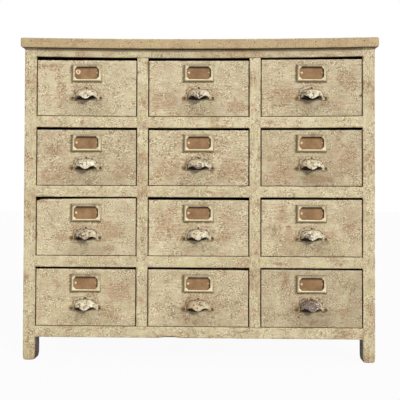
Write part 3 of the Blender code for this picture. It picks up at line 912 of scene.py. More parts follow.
def chipped_paint(name):
    """Thick old paint over cast iron, with dirt in its creases.

    The mesh's marks say where it has chipped off, how tanned it is, with painted shade on its left, and
    where the dirt lies.
    """
    paint = Finish(name)
    cloud = paint.mottle(12 * MM, detail=5, roughness=0.6)
    grit = paint.mottle(2.6 * MM, detail=3, roughness=0.7)
    iron = paint.blend(paint.span(grit, 0.35, 0.65), IRON_DULL, IRON)
    chip = paint.span(paint.total(paint.mark("chip"), (grit, 0.5)), 0.6, 0.85)
    dirt = paint.scaled(paint.mark("dirt"), paint.span(cloud, 0.3, 0.55))
    colour = paint.layered(paint.blend(paint.span(cloud, 0.35, 0.65), PULL_PAINT_DULL, PULL_PAINT), [
        # Tan, and painted shade on the left side
        (paint.scaled(paint.mark("tan"), 0.8), PULL_TANNED),
        (paint.veil(grit, 0.44, 0.33, 0.8), PULL_DIRT),
        (chip, iron),
        (paint.scaled(dirt, 0.9), PULL_DIRT),
        (paint.mark("crease"), PULL_CREASE),
        # Painted shade inside the cup
        (paint.mark("inside"), PULL_INSIDE_SHADE),
    ])
    height = paint.math("SUBTRACT", paint.scaled(grit, 0.4), chip)
    return paint.dressed(colour, paint.line(grit, 0.4, 0.35), height, 0.35 * MM, gloss=0.35)


def old_card(name):
    """A brown card with faded and foxed patches, and painted shade where the mesh marks it."""
    card = Finish(name)
    cloud = card.mottle(30 * MM, detail=4, roughness=0.6)
    fibre = card.mottle(1.5 * MM, detail=3, stretch=along(X_AXIS, 3))
    colour = card.layered(card.blend(card.span(cloud, 0.3, 0.7), CARD_DULL, CARD), [
        (card.veil(fibre, 0.5, 0.75, 0.25), CREAM_DULL),
        (card.mark("grime"), CARD_SHADE),
    ])
    return card.dressed(colour, card.line(fibre, 0.2, 0.7), fibre, 0.1 * MM, gloss=0.2)


def old_metal(name, light, dark, metallic, smooth):
    """Tarnished metal, such as a screw or nail."""
    metal = Finish(name)
    cloud = metal.mottle(3 * MM, detail=4, roughness=0.65)
    colour = metal.blend(metal.span(cloud, 0.35, 0.7), light, dark)
    metal.shader.inputs["Metallic"].default_value = metallic
    return metal.dressed(colour, metal.line(cloud, 0.35, smooth), cloud, 0.15 * MM)


FRAME_COAT = {"light": FRAME_CREAM, "dull": FRAME_DULL, "wear": 0.03, "flecks": 1.3, "tint": 0.6}
HOLDER_COAT = {"light": HOLDER_CREAM, "dull": HOLDER_DULL, "wear": -0.2, "flecks": 0.4, "tint": 0.15}
TOP_COAT = {"light": TAN, "dull": TAN_DULL, "pale": TAN_PALE, "wear": -0.03, "flecks": 1.25, "tint": 0.2}

RAIL_PAINT = old_paint("rail_paint", X_AXIS, **FRAME_COAT)
POST_PAINT = old_paint("post_paint", Z_AXIS, **FRAME_COAT)
FRONT_PAINT = old_paint("front_paint", X_AXIS)
HOLDER_PAINT = old_paint("holder_paint", X_AXIS, **HOLDER_COAT)
TOP_PAINT = old_paint("top_paint", X_AXIS, **TOP_COAT)
WOOD_X = bare_wood("wood_along_x", X_AXIS)
WOOD_Y = bare_wood("wood_along_y", Y_AXIS)
WOOD_Z = bare_wood("wood_along_z", Z_AXIS)
WOOD_INNER_SHADE = bare_wood("wood_inside", Y_AXIS, light=WOOD_DARK, dark=WOOD_INSIDE_SHADE)
PULL_FINISH = chipped_paint("chipped_paint")
CARD_PAPER = old_card("old_card")
# Lit and shaded copies of the label screws' metal, as painted light and shade
LIT_SCREW_METAL = old_metal("bright_screw", LIT_BRASS, LIT_BRASS_DULL, 0.2, 0.4)
SHADED_SCREW_METAL = old_metal("dull_screw", SHADED_SCREW_TAN, CARD_DULL, 0.1, 0.5)
SCREW_DARK = old_metal("olive_screw", SCREW_OLIVE, SCREW_SHADE, 0.1, 0.6)
SCREW_IRON = old_metal("dark_screw", RUST, IRON_DARK, 0.4, 0.45)


# Carcass


DRAWER_RAILS = [f"drawer_rail_{row + 1}" for row in range(ROWS - 1)]
RAILS = ["top_rail", "bottom_rail", *DRAWER_RAILS]
UPRIGHTS = [f"muntin_{index + 1}" for index in range(COLUMNS - 1)]


def sag(x, y, half):
    """How far the top hangs down at a place, most in the middle of its front edge."""
    depth = unit(1 - (y - cad_bounds[0][1]) / TOP_SAG_DEPTH)
    return TOP_SAG * unit(1 - (x / half) ** 2) * np.sqrt(depth)


def sagged(form, half):
    """A form of the top, bent down in the middle of its front edge."""
    form.points[:, 2] -= sag(form.x, form.y, half)
    return form


def rail_bow(x):
    """How far along its sag a rail hangs at a place: 1 in the middle and 0 at the posts."""
    return unit(1 - (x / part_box("front_right_post")[0].x) ** 2)


def eased(distance, reach):
    """1 at no distance and 0 beyond a reach."""
    return unit(1 - distance / reach)


def at_rails(points):
    """A share at points on the level of a front rail, where paint fills the joint, and 0 elsewhere."""
    found = np.zeros(len(points))
    for node in RAILS:
        low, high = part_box(node)
        found[(points[:, 2] > low.z + JOINT_GAP) & (points[:, 2] < high.z - JOINT_GAP)] = RAIL_JOINT_SHARE
    return found


def past_paint(form, front):
    """0 as far back from the front as paint reaches, and 1 deep behind it."""
    return unit((form.y - front - PAINT_REACH) / PAINT_FADE)


def weathered(form, front, seed, inner=None):
    """A form of the front with its wear and dirt marked, and no paint deep inside the gaps, dark there as
    painted shade.

    Only the faces near the inner sides, where these are given, are without paint.
    """
    depth = past_paint(form, front)
    if inner is not None:
        depth *= np.abs(form.x - inner) < PAINT_FADE
    form.marks["unpainted"] = depth
    for name, patches, shift in (("stain", FRAME_STAINED, 4), ("rub", FRAME_RUBBED, 5)):
        blotches = unit(BLOTCH_GAIN * field(form.points, BLOTCH_SIZE, seed + shift))
        form.marks[name] = np.maximum(blotches, patched(form, patches, 0, 0))
    form.marks["bare"] = patched(form, FRAME_BARE, 0, 0)
    uneven = 1 + field(form.points, BLOTCH_SIZE, seed + 6)
    form.marks["soil"] = FRAME_DIRT * uneven * eased(form.z, FRAME_DIRT_H)
    return form


def build_posts():
    """Four corner posts, with their feet worn round, and the rear ones rebated for the back."""

    def wear(points, worn):
        return worn * (1 - at_rails(points)) + FOOT_ROUND * eased(points[:, 2], FOOT_ROUND_H)

    back_low, back_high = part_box("back_panel")
    rebate = (
        (back_low.x - JOINT_GAP, back_low.y - JOINT_GAP, back_low.z - JOINT_GAP),
        (back_high.x + JOINT_GAP, back_high.y + OVERCUT, back_high.z + OVERCUT),
    )
    for end, cuts in (("front", []), ("rear", [rebate])):
        for side, hand in ((-1, "left"), (1, "right")):
            node = f"{end}_{hand}_post"
            low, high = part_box(node)
            form = board([(low, high)], cuts=cuts, wear=wear, seed=len(node))
            weathered(form, low.y, len(node), inner=low.x if side > 0 else high.x)
            form.marks["unpainted"] *= end == "front"
            worn = eased(form.z, FOOT_WORN_H)
            ragged = FOOT_BARE_WAVER * field(form.points, EDGE_CHIP_SIZE, len(node))
            form.deepen("rub", worn)
            form.deepen("bare", unit(worn + ragged - FOOT_BARE_START))
            piece(f"worn_{node}", [(form, POST_PAINT)], "frame_paint", "carcass", node)


def bite_rail(form, low):
    """Takes a bite out of the bottom rail's lower front edge, down to bare wood."""
    away = np.abs(form.x - RAIL_BITE_X) / RAIL_BITE_REACH
    bite = unit(1 - away**2) * eased(form.z - low.z, BOARD_STEP) * eased(form.y - low.y, RAIL_BITE_DEPTH)
    form.deepen("bare", bite)
    # Its underside is bare wood, dark as painted shade
    form.deepen("unpainted", bite * (form.z < low.z + EDGE_ROUND))
    form.points[:, 2] += RAIL_BITE * bite


def shade_and_soil_top_rail(form, high):
    """Marks the top rail: painted shade close under the top board, and dirt smeared down from there."""
    shade = eased(high.z - form.z, TOP_SHADE_H) ** 2
    smears = TOP_RAIL_DIRT * (1 + 2 * field(form.points * TOP_RAIL_DRAW, BLOTCH_SIZE))
    form.marks["soil"] = unit(np.maximum(shade, smears))


def build_rails():
    """Front rails, which reach a little into the posts, and the drawer rails' notches for the uprights."""
    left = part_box("front_left_post")[1].x - PAINTED_JOINT
    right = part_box("front_right_post")[0].x + PAINTED_JOINT
    notches = []
    for upright in UPRIGHTS:
        low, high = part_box(upright)
        notches.append((
            (low.x + PAINTED_JOINT, low.y - OVERCUT, low.z),
            (high.x - PAINTED_JOINT, high.y + JOINT_GAP, high.z),
        ))
    for node in RAILS:
        low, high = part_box(node)
        form = board(
            [((left, low.y + PAINT_STEP, low.z), (right, high.y, high.z))],
            cuts=notches if node in DRAWER_RAILS else (),
            seed=low.z,
        )
        weathered(form, low.y, low.z)
        if node == "bottom_rail":
            bite_rail(form, low)
        form.points[:, 2] -= RAIL_SAG.get(node, 0) * rail_bow(form.x)
        # A painted highlight along the rail's upper edge
        ridge = eased(high.z - form.z, RAIL_RIM)
        form.marks["fresh"] = unit(ridge * (RAIL_HIGHLIGHT + field(form.points, BLOTCH_SIZE, low.z)))
        if node == "top_rail":
            shade_and_soil_top_rail(form, high)
            form = sagged(form, right)
        piece(f"worn_{node}", [(form, RAIL_PAINT)], "frame_paint", "carcass", node)


def build_uprights():
    """Uprights between the columns, from the bottom rail up to the top rail, which sags."""

    def wear(points, worn):
        return worn * (1 - at_rails(points))

    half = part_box("front_right_post")[0].x + PAINTED_JOINT
    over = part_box("bottom_rail")[1].z + JOINT_GAP
    for node in UPRIGHTS:
        low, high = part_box(node)
        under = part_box("top_rail")[0].z - sag(low.x, low.y, half) - JOINT_GAP
        form = board([((low.x, low.y, over), (high.x, high.y, under))], wear=wear, seed=high.x)
        piece(f"worn_{node}", [(weathered(form, low.y, high.x), POST_PAINT)], "frame_paint", "carcass", node)


def build_top():
    """The top board, with nails along its front edge and no paint underneath."""
    low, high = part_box("top_board")

    def wear(points, worn):
        return worn + TOP_END_ROUND * eased(high.x - np.abs(points[:, 0]), 2 * TOP_END_ROUND)

    form = board([(low, high)], rounding=TOP_ROUND, wear=wear)
    # The underside is bare wood, dark as painted shade under the overhang
    form.marks["unpainted"] = (np.abs(form.z - low.z) < TOP_ROUND / 2) * past_paint(form, low.y)
    nails = [nail((x * MM, low.y, high.z - TOP_NAIL_DROP), (0, -1, 0)) for x in TOP_NAIL_PLACES]
    parts = [(sagged(form, high.x), TOP_PAINT)]
    parts += [(sagged(head, high.x), SCREW_IRON) for head in nails]
    piece("worn_top_board", parts, "top_paint", "carcass", "top_board")


def build_sides():
    """Side panels between the posts."""
    for hand in ("left", "right"):
        node = f"{hand}_side_panel"
        low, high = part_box(node)
        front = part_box(f"front_{hand}_post")[1].y + JOINT_GAP
        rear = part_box(f"rear_{hand}_post")[0].y - JOINT_GAP
        form = board([((low.x, front, low.z), (high.x, rear, high.z))], step=HIDDEN_STEP, seed=low.x)
        piece(f"worn_{node}", [(form, POST_PAINT)], "frame_paint", "carcass", node)


def build_rear_rails():
    """Rails between the rear posts."""
    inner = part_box("rear_right_post")[0].x - JOINT_GAP
    for node in ("rear_top_rail", "rear_bottom_rail"):
        low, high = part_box(node)
        form = board([((-inner, low.y, low.z), (inner, high.y, high.z))], step=HIDDEN_STEP, seed=low.z)
        piece(f"worn_{node}", [(form, WOOD_X)], "bare_wood", "carcass", node)


def build_back():
    """The back's boards, each lapped over the next one, with their nails."""
    low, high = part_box("back_panel")
    width = (high.x - low.x) / BACK_BOARDS
    halfway = (low.y + high.y) / 2
    for index in range(BACK_BOARDS):
        left = low.x + index * width + BACK_BOARD_GAP / 2
        right = left + width - BACK_BOARD_GAP
        lap_left = left + BACK_BOARD_LAP if index else left
        lap_right = right + BACK_BOARD_LAP if index < BACK_BOARDS - 1 else right
        halves = [
            ((lap_left, low.y, low.z), (lap_right, halfway, high.z)),
            ((left, halfway, low.z), (right, high.y, high.z)),
        ]
        form = board(halves, step=HIDDEN_STEP, rounding=BACK_ROUND, chips=0, seed=index)
        heads = [
            (nail((x, high.y, z), (0, 1, 0)), SCREW_IRON)
            for x in (left + width / 4, right - width / 4)
            for z in (low.z + BACK_NAIL_INSET, high.z - BACK_NAIL_INSET)
        ]
        name = f"back_board_{index + 1}"
        piece(name, [(form, WOOD_Z), *heads], "bare_wood", "carcass", "back_panel")


def dress_inside():
    """Bare wood, dark as painted shade, on the boards inside, which keep the shape of their solids."""
    shelves = [f"shelf_{row + 1}" for row in range(ROWS)]
    partitions = [f"partition_{index + 1}" for index in range(COLUMNS - 1)]
    for node in shelves + partitions:
        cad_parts[node].material_slots[0].material = WOOD_INNER_SHADE


# Drawers


def patched(form, patches, middle_x, floor):
    """How far each point lies in any of the patches, which are placed from a middle and a floor: 0 to 1."""
    found = np.zeros(len(form.points))
    waver = PATCH_WAVER * field(form.points, PATCH_WAVER_SIZE, middle_x + floor)
    for x, z, reach_x, reach_z in patches:
        across = (form.x - middle_x - x * MM) / (reach_x * MM)
        up = (form.z - floor - z * MM) / (reach_z * MM)
        found = np.maximum(found, unit(PATCH_CORE - np.hypot(across, up) + waver))
    return found


def loop_distance(places, loop):
    """Distance from each place (x, z) to the nearest part of a closed loop."""
    nearest = np.full(len(places), np.inf)
    for start, end in zip(loop, np.roll(loop, -1, axis=0)):
        along = end - start
        share = unit((places - start) @ along / (along @ along))
        nearest = np.minimum(nearest, np.linalg.norm(places - start - share[:, None] * along, axis=1))
    return nearest


def seams(form, tag):
    """Dirt and a painted shadow, set to the lower left, round a front's holder and pull, and rubbing round
    the pull.
    """
    places = form.points[:, [0, 2]] + SEAM_SHADOW_SHIFT
    holder_low, holder_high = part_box(f"label_holder_{tag}")
    middle = np.array(((holder_low.x + holder_high.x) / 2, (holder_low.z + holder_high.z) / 2))
    half_w, half_h = HOLDER_W / 2, HOLDER_H / 2
    rim = np.array([(half_w, half_h), (half_w, -half_h), (-half_w, -half_h), (-half_w, half_h)])
    found = SEAM_DIRT_SHADE * eased(loop_distance(places - middle, rim), SEAM_DIRT_SHADE_W)
    seat = np.array((middle[0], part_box(f"cup_pull_{tag}")[0].z + EAR_R))
    away = loop_distance(places - seat, np.array(plate_loop()))
    uneven = SEAM_DIRT_SHADE_EVEN + SEAM_DIRT_SHADE_WAVER * field(form.points, SEAM_DIRT_SHADE_SIZE)
    return np.maximum(found, PULL_SEAM_DIRT_SHADE * eased(away, SEAM_DIRT_SHADE_W)) * uneven, eased(away, PULL_HALO)


class Drawer:
    """Names of a drawer, its box, and the planes where its boards meet."""

    def __init__(self, tag):
        self.tag = tag
        self.node, self.body = f"drawer_box_{tag}", f"drawer_{tag}"
        self.low, self.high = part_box(self.node)
        self.middle = (self.low.x + self.high.x) / 2
        self.half = (self.high.x - self.low.x) / 2
        self.side_out = self.half - SIDE_INSET
        self.side_in = self.side_out - SIDE_T
        self.lap = self.low.y + FRONT_T - SIDE_LAP
        self.front_back = self.low.y + FRONT_T
        self.side_top = self.high.z - SIDE_DROP
        self.bottom_low = self.low.z + BOTTOM_RAISE
        self.bottom_high = self.bottom_low + BOTTOM_T
        self.seed = self.middle + self.low.z

    def piece(self, kind, parts, slot="bare_wood"):
        """A piece for one of the drawer's boards."""
        return piece(f"drawer_{kind}_{self.tag}", parts, slot, self.body, self.node)

    def patched(self, form, patches):
        """How far each point lies in any of this drawer's patches."""
        return patched(form, patches.get(self.tag, []), self.middle, self.low.z)


def front_form(drawer):
    """A drawer's front, rebated for the sides, with its points close together round holder and pull."""
    low, high, middle, half = drawer.low, drawer.high, drawer.middle, drawer.half
    rebates = [
        (
            (middle + near, drawer.lap, low.z - OVERCUT),
            (middle + far, drawer.front_back + OVERCUT, high.z + OVERCUT),
        )
        for near, far in ((-half - OVERCUT, -drawer.side_in), (drawer.side_in, half + OVERCUT))
    ]
    holder_low, holder_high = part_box(f"label_holder_{drawer.tag}")
    pull_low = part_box(f"cup_pull_{drawer.tag}")[0]
    margin = FRONT_FINE_MARGIN
    fine = [
        (X_AXIS, holder_low.x - margin, holder_high.x + margin, FRONT_FINE_STEP),
        (Z_AXIS, pull_low.z - margin, holder_high.z + margin, FRONT_FINE_STEP),
    ]
    return board(
        [((low.x, low.y, low.z + FRONT_LIFT), (high.x, drawer.front_back, high.z))],
        cuts=rebates,
        step=FRONT_STEP,
        seed=drawer.seed,
        fine=fine,
    )


def pull_shade(front, drawer):
    """Painted shade on a front inside its pull, a painted shadow beneath it, and hand dirt with shade round
    it.
    """
    across = (front.x - drawer.middle) / (CUP_W / 2 - CUP_WALL)
    up = (front.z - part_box(f"cup_pull_{drawer.tag}")[0].z - EAR_R) / (CUP_H - CUP_WALL)
    covered = unit(COVER_FADE * (1 - np.hypot(across, up))) * (up > -COVER_DROP)
    drop = SHADE_DROP[drawer.tag[:2]]
    # A painted shadow under the lip, set to the left as if from the lamp
    beneath = np.hypot(SHADE_NARROW * across + SHADE_LEFT, SHADE_FLAT * up + drop)
    below = SHADE_MOST * unit(SHADE_CORE - SHADE_FADE * beneath)
    hands = np.hypot(across / HAND_DIRT_SHADE_W, up / HAND_DIRT_SHADE_H + HAND_DIRT_SHADE_DROP)
    return np.maximum(covered, below), HAND_DIRT_SHADE * unit(HAND_DIRT_SHADE_CORE - hands)


def mark_front(front, drawer):
    """Marks the wear and dirt of a drawer's front, its painted shade round the pull and painted highlight
    along the top.
    """
    low, high, tag = drawer.low, drawer.high, drawer.tag
    weathered(front, low.y, drawer.seed)
    # The top face is bare wood from close behind the front, dark as painted shade in the gap above
    above = front.z > high.z - EDGE_ROUND / 2
    front.deepen("unpainted", above * unit((front.y - low.y - FRONT_TOP_PAINT) / PAINT_REACH))
    seam, halo = seams(front, tag)
    shade, hand_dirt_shade = pull_shade(front, drawer)
    shade = np.maximum(shade, drawer.patched(front, FRONT_NICKS))
    share = unit((front.x - low.x) / (high.x - low.x))
    painted = front.y < low.y + PAINT_REACH
    front.marks["rub"] = np.maximum(drawer.patched(front, RUBBED_PATCHES), halo)
    front.marks["stain"] = drawer.patched(front, STAINED_PATCHES)
    front.marks["bare"] = drawer.patched(front, BARE_PATCHES)
    front.marks["grime"] = unit(shade + DIRTY_FRONTS.get(tag, 0) + RIGHT_DIRT * share) * painted
    front.marks["soil"] = unit(np.maximum(seam, hand_dirt_shade)) * painted
    # Fresher paint, and a painted highlight along the upper edge
    front.marks["fresh"] = unit(RIM_HIGHLIGHT * eased(high.z - front.z, FRONT_RIM) + FRESH_FRONTS.get(tag, 0))


def warp_front(front, drawer):
    """Warps a front's upper edge, chips its corner, and lets its lower edge sag with the rail below."""
    low, high, tag = drawer.low, drawer.high, drawer.tag
    share = unit((front.x - low.x) / (high.x - low.x))
    chip = eased(front.x - low.x, CORNER_CHIP_W) * eased(high.z - front.z, CORNER_CHIP_H)
    lift = np.interp(share, (0, 1), FRONT_TOP_SHIFT[tag]) * MM * eased(high.z - front.z, FRONT_TOP_REACH)
    front.points[:, 2] += lift - CORNER_CHIPS.get(tag, 0) * chip
    hang = rail_bow(front.x) * eased(front.z - low.z, FRONT_TOP_REACH)
    front.points[:, 2] -= RAIL_SAG.get(f"drawer_rail_{tag[1]}", 0) * hang


def build_drawer_sides(drawer):
    """A drawer's sides, nailed into the rebates of its front."""
    low, high = drawer.low, drawer.high
    for hand, side in (("left", -1), ("right", 1)):
        outer = drawer.middle + side * drawer.side_out
        near, far = sorted((drawer.middle + side * (drawer.side_in + JOINT_GAP), outer))
        corners = (near, drawer.lap + JOINT_GAP, low.z), (far, high.y, drawer.side_top)
        wall = board([corners], step=HIDDEN_STEP, seed=drawer.seed + side)
        heads = [
            (nail((outer, drawer.lap + SIDE_NAIL_INSET, low.z + level), (side, 0, 0)), SCREW_IRON)
            for level in SIDE_NAIL_LEVELS
        ]
        drawer.piece(hand, [(wall, WOOD_Y), *heads])


def build_drawer_back(drawer):
    """A drawer's back, which stands on its bottom."""
    left, right = drawer.middle - drawer.side_in, drawer.middle + drawer.side_in
    back = drawer.high.y
    corners = (left, back - SIDE_T, drawer.bottom_high + JOINT_GAP), (right, back, drawer.side_top)
    rear = board([corners], step=HIDDEN_STEP, seed=drawer.seed + 2)
    drawer.piece("back", [(rear, WOOD_X)])


def build_drawer_bottom(drawer):
    """A drawer's bottom, of boards that run across it."""
    left, right = drawer.middle - drawer.side_in, drawer.middle + drawer.side_in
    front = drawer.front_back
    depth = (drawer.high.y - front - JOINT_GAP) / BOTTOM_BOARDS
    slats = []
    for index in range(BOTTOM_BOARDS):
        start = front + JOINT_GAP + index * depth
        corners = (left, start, drawer.bottom_low), (right, start + depth - JOINT_GAP, drawer.bottom_high)
        slat = board([corners], step=HIDDEN_STEP, rounding=SLAT_ROUND, chips=SLAT_CHIP, seed=index)
        slats.append((slat, WOOD_X))
    drawer.piece("bottom", slats)


def build_drawer(tag):
    """A drawer's front, sides, back and bottom, each a board of its own."""
    drawer = Drawer(tag)
    front = front_form(drawer)
    mark_front(front, drawer)
    warp_front(front, drawer)
    drawer.piece("front", [(front, FRONT_PAINT)], "drawer_paint")
    build_drawer_sides(drawer)
    build_drawer_back(drawer)
    build_drawer_bottom(drawer)


# Label holders


def outline(half_w, half_h, cut, roundness):
    """Points (x, z) round a rectangle whose corners are cut straight (0) or rounded (1)."""
    found = []
    for side_x, side_z, start in ((1, 1, 90), (1, -1, 0), (-1, -1, 270), (-1, 1, 180)):
        middle = Vector((side_x * (half_w - cut), side_z * (half_h - cut)))
        ends = []
        for degrees in (start, start - 90):
            turn = math.radians(degrees)
            ends.append(middle + cut * Vector((math.cos(turn), math.sin(turn))))
        for step in range(CORNER_STEPS + 1):
            turn = math.radians(start - 90 * step / CORNER_STEPS)
            arc = middle + cut * Vector((math.cos(turn), math.sin(turn)))
            found.append(ends[0].lerp(ends[1], step / CORNER_STEPS).lerp(arc, roundness))
    return found


def window_edges():
    """Half width, lowest and highest level of a holder's window, from the holder's middle."""
    low = HOLDER_SLOPE + WINDOW_LOW - HOLDER_H / 2
    return HOLDER_W / 2 - HOLDER_SLOPE - WINDOW_SIDE, low, HOLDER_H / 2 - WINDOW_HIGH


def holder_form():
    """A pressed frame with sloping sides and an eight-sided window, open at the top for a card.

    Its origin is on the drawer's face, in the middle.
    """
    half_w, half_h = HOLDER_W / 2, HOLDER_H / 2
    face_w, face_low = half_w - HOLDER_SLOPE, HOLDER_SLOPE - half_h
    hole_w, hole_low, hole_high = window_edges()
    slot_w, slot_low = face_w - HOLDER_WALL, face_low + HOLDER_WALL
    depth, behind = HOLDER_DEPTH, HOLDER_DEPTH - HOLDER_FACE_T
    soft = HOLDER_SOFT
    rows = [
        (half_w, -half_h, half_h, HOLDER_CORNER, 1, 0),
        (face_w + soft, face_low - soft, half_h, HOLDER_CORNER, 1, depth - soft),
        (face_w - soft, face_low + soft, half_h - soft, HOLDER_CORNER, 1, depth),
        (hole_w + soft, hole_low - soft, hole_high + soft, WINDOW_CUT, 0, depth),
        (hole_w, hole_low, hole_high, WINDOW_CUT, 0, depth - soft),
        (hole_w, hole_low, hole_high, WINDOW_CUT, 0, behind),
        (slot_w, slot_low, half_h, HOLDER_WALL / 2, 1, behind),
        (slot_w, slot_low, half_h, HOLDER_WALL / 2, 1, 0),
    ]
    points = []
    for width, low, high, cut, roundness, out in rows:
        middle = (low + high) / 2
        for x, z in outline(width, (high - low) / 2, cut, roundness):
            points.append((x, -out, z + middle))
        for share in (-1, -SLOT_INNER, SLOT_INNER, 1):
            x = share * min(HOLDER_SLOT_X, width - cut)
            points.append((x, -out if abs(share) == 1 else -max(out, behind), high))
    form = cleaned(Form(points, bands(len(rows), len(points) // len(rows), closed=True)))
    x, out, z = form.x, -form.y, form.z
    # Dirt and painted shade on the left and lower slopes, which face away from the light, and dirt on the
    # right and top
    slope = (x < soft - face_w) | (z < face_low - soft / 2)
    lower = 1 - HOLDER_DIRT_SHADE_FADE * out / depth
    upper = z > hole_high - soft
    dirt = np.where(slope, HOLDER_SLOPE_DIRT_SHADE, np.where(out < depth / 2, HOLDER_RIGHT_DIRT, 0)) * lower
    form.marks["soil"] = np.maximum(dirt, HOLDER_TOP_DIRT * upper)
    form.marks["stain"] = HOLDER_TOP_STAIN * upper
    form.marks["fresh"] = 1.0 * ~upper
    form.marks["edge"] = np.full(len(form.points), HOLDER_W)
    return form


def cleaned(form):
    """A form with its doubled points merged and its faces turned outwards."""
    shape = bmesh.new()
    corners = [shape.verts.new(point) for point in form.points]
    for face in form.faces:
        shape.faces.new([corners[corner] for corner in face])
    bmesh.ops.remove_doubles(shape, verts=shape.verts, dist=NEAR)
    bmesh.ops.recalc_face_normals(shape, faces=shape.faces)
    shape.verts.index_update()
    points = [vertex.co for vertex in shape.verts]
    made = Form(points, [[corner.index for corner in face.verts] for face in shape.faces])
    shape.free()
    return made


def screw(place, radius, height):
    """A round screw head with a slot that is turned by chance, on a face that looks along -Y."""
    slot = SCREW_SLOT
    slot_turn = Matrix.Rotation(math.pi * noise.noise(place * SCREW_TURN_RATE), 2)
    lines = [-1, -0.85, -0.6, -slot - 0.05, -slot, slot, slot + 0.05, 0.6, 0.85, 1]
    across = [-1, -0.85, -0.5, 0, 0.5, 0.85, 1]
    top, bottom = [], []
    for u in lines:
        for v in across:
            x, z = u * math.sqrt(1 - v * v / 2), v * math.sqrt(1 - u * u / 2)
            out = height * math.sqrt(max(0, 1 - SCREW_DOME * (x * x + z * z)))
            if abs(u) <= slot + NEAR:
                out = max(SCREW_SLOT_FLOOR * height, out - SCREW_SLOT_DEPTH * height)
            turned = Vector((x, z)) * radius
            turned.rotate(slot_turn)
            top.append(place + Vector((turned.x, -out, turned.y)))
            bottom.append(place + Vector((turned.x, 0, turned.y)))
    width = len(across)
    count = len(top)
    faces = []
    for i in range(len(lines) - 1):
        for j in range(width - 1):
            corner = i * width + j
            quad = (corner, corner + 1, corner + width + 1, corner + width)
            faces.append(quad)
            faces.append(tuple(count + index for index in reversed(quad)))
    rim = list(range(width))
    rim += [i * width + width - 1 for i in range(1, len(lines))]
    rim += [(len(lines) - 1) * width + j for j in reversed(range(width - 1))]
    rim += [i * width for i in reversed(range(1, len(lines) - 1))]
    for here, beyond in zip(rim, rim[1:] + rim[:1]):
        faces.append((here, count + here, count + beyond, beyond))
    return cleaned(Form([*top, *bottom], faces))


def ring_form():
    """A flat, softly raised ring on a face that looks along -Y."""
    middle = (RING_IN_R + RING_OUT_R) / 2
    slopes = [(0.95 * RING_OUT_R, 0.8), (middle, 1), (1.15 * RING_IN_R, 0.8)]
    profile = [(RING_OUT_R, 0), *slopes, (RING_IN_R, 0)]
    points = []
    for step in range(RING_STEPS):
        turn = math.tau * step / RING_STEPS
        for radius, height in profile:
            points.append((radius * math.cos(turn), -RING_H * height, radius * math.sin(turn)))
    return cleaned(Form(points, bands(RING_STEPS, len(profile), closed=True)))


def card_form():
    """A card that fills the slot behind a holder's window, with painted shade along the window's right and
    upper edge.
    """
    hole_w, _, hole_high = window_edges()
    half_w = HOLDER_W / 2 - HOLDER_SLOPE - HOLDER_WALL - CARD_GAP
    low = HOLDER_SLOPE + HOLDER_WALL + CARD_GAP - HOLDER_H / 2
    corners = (-half_w, -2 * CARD_T, low), (half_w, -CARD_T, HOLDER_H / 2 - CARD_GAP)
    card = board([corners], step=CARD_STEP, rounding=CARD_ROUND, chips=0)
    right = CARD_SHADE_RIGHT * eased(hole_w - card.x, CARD_SHADE_W)
    above = eased(hole_high - card.z, CARD_SHADE_W)
    shade = CARD_SHADE_GAIN * np.maximum(right, above) - CARD_SHADE_START
    card.marks["grime"] = np.clip(shade, 0, CARD_SHADE_MOST)
    return card


def build_label(tag, holder):
    """A drawer's label holder, its card, and the screws that hold both, or a ring round the card's hole."""
    node, body = f"label_holder_{tag}", f"drawer_{tag}"
    low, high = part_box(node)
    middle = Vector(((low.x + high.x) / 2, high.y, (low.z + high.z) / 2))
    piece(f"holder_{tag}", [(holder.moved(middle), HOLDER_PAINT)], "label_steel", body, node)
    card = card_form().moved(middle)
    card.points[:, 1] += CARD_CURL * field(card.points, CARD_CURL_SIZE) - CARD_CURL
    piece(f"card_{tag}", [(card, CARD_PAPER)], "label_steel", body)
    proud = -2 * CARD_T - 2 * CARD_CURL
    sides = [-1, 1]
    if tag == RING_TAG:
        ring_x, ring_z = RING_PLACE
        ring = ring_form().moved(middle + Vector((ring_x, proud, ring_z)))
        piece(f"card_ring_{tag}", [(ring, LIT_SCREW_METAL)], "label_steel", body)
        sides = [1]
    _, hole_low, hole_high = window_edges()
    screws = []
    for side in sides:
        place = middle + Vector((side * LABEL_SCREW_X, proud, (hole_low + hole_high) / 2))
        # Left screws get the lit copy and right ones the shaded copy, as painted light and shade
        finish = LIT_SCREW_METAL if side < 0 else SHADED_SCREW_METAL
        screws.append((screw(place, LABEL_SCREW_R, LABEL_SCREW_H), finish))
    piece(f"label_screws_{tag}", screws, "label_steel", body)


# Cup pulls


def arch_point(turn, inset):
    """A point (x, z) of the cup's arch on its plate, inset into the cup's wall."""
    across, up = math.cos(turn), math.sin(turn)
    power = 2 / CUP_ARCH_POWER
    x = math.copysign(abs(across) ** power, across) * (CUP_W / 2 - inset)
    return x, max(up, 0.0) ** power * (CUP_H - inset)


def scallop(share):
    """Level of the cup's lower edge at a share of its half width: a lobe between two arches."""
    if share < CUP_ARCH_PLACE:
        climb = (1 - math.cos(math.pi * share / CUP_ARCH_PLACE)) / 2
        return climb * (CUP_POINT_DROP + CUP_ARCH_RISE) - CUP_POINT_DROP
    return CUP_ARCH_RISE * (1 - ((share - CUP_ARCH_PLACE) / (1 - CUP_ARCH_PLACE)) ** 2)


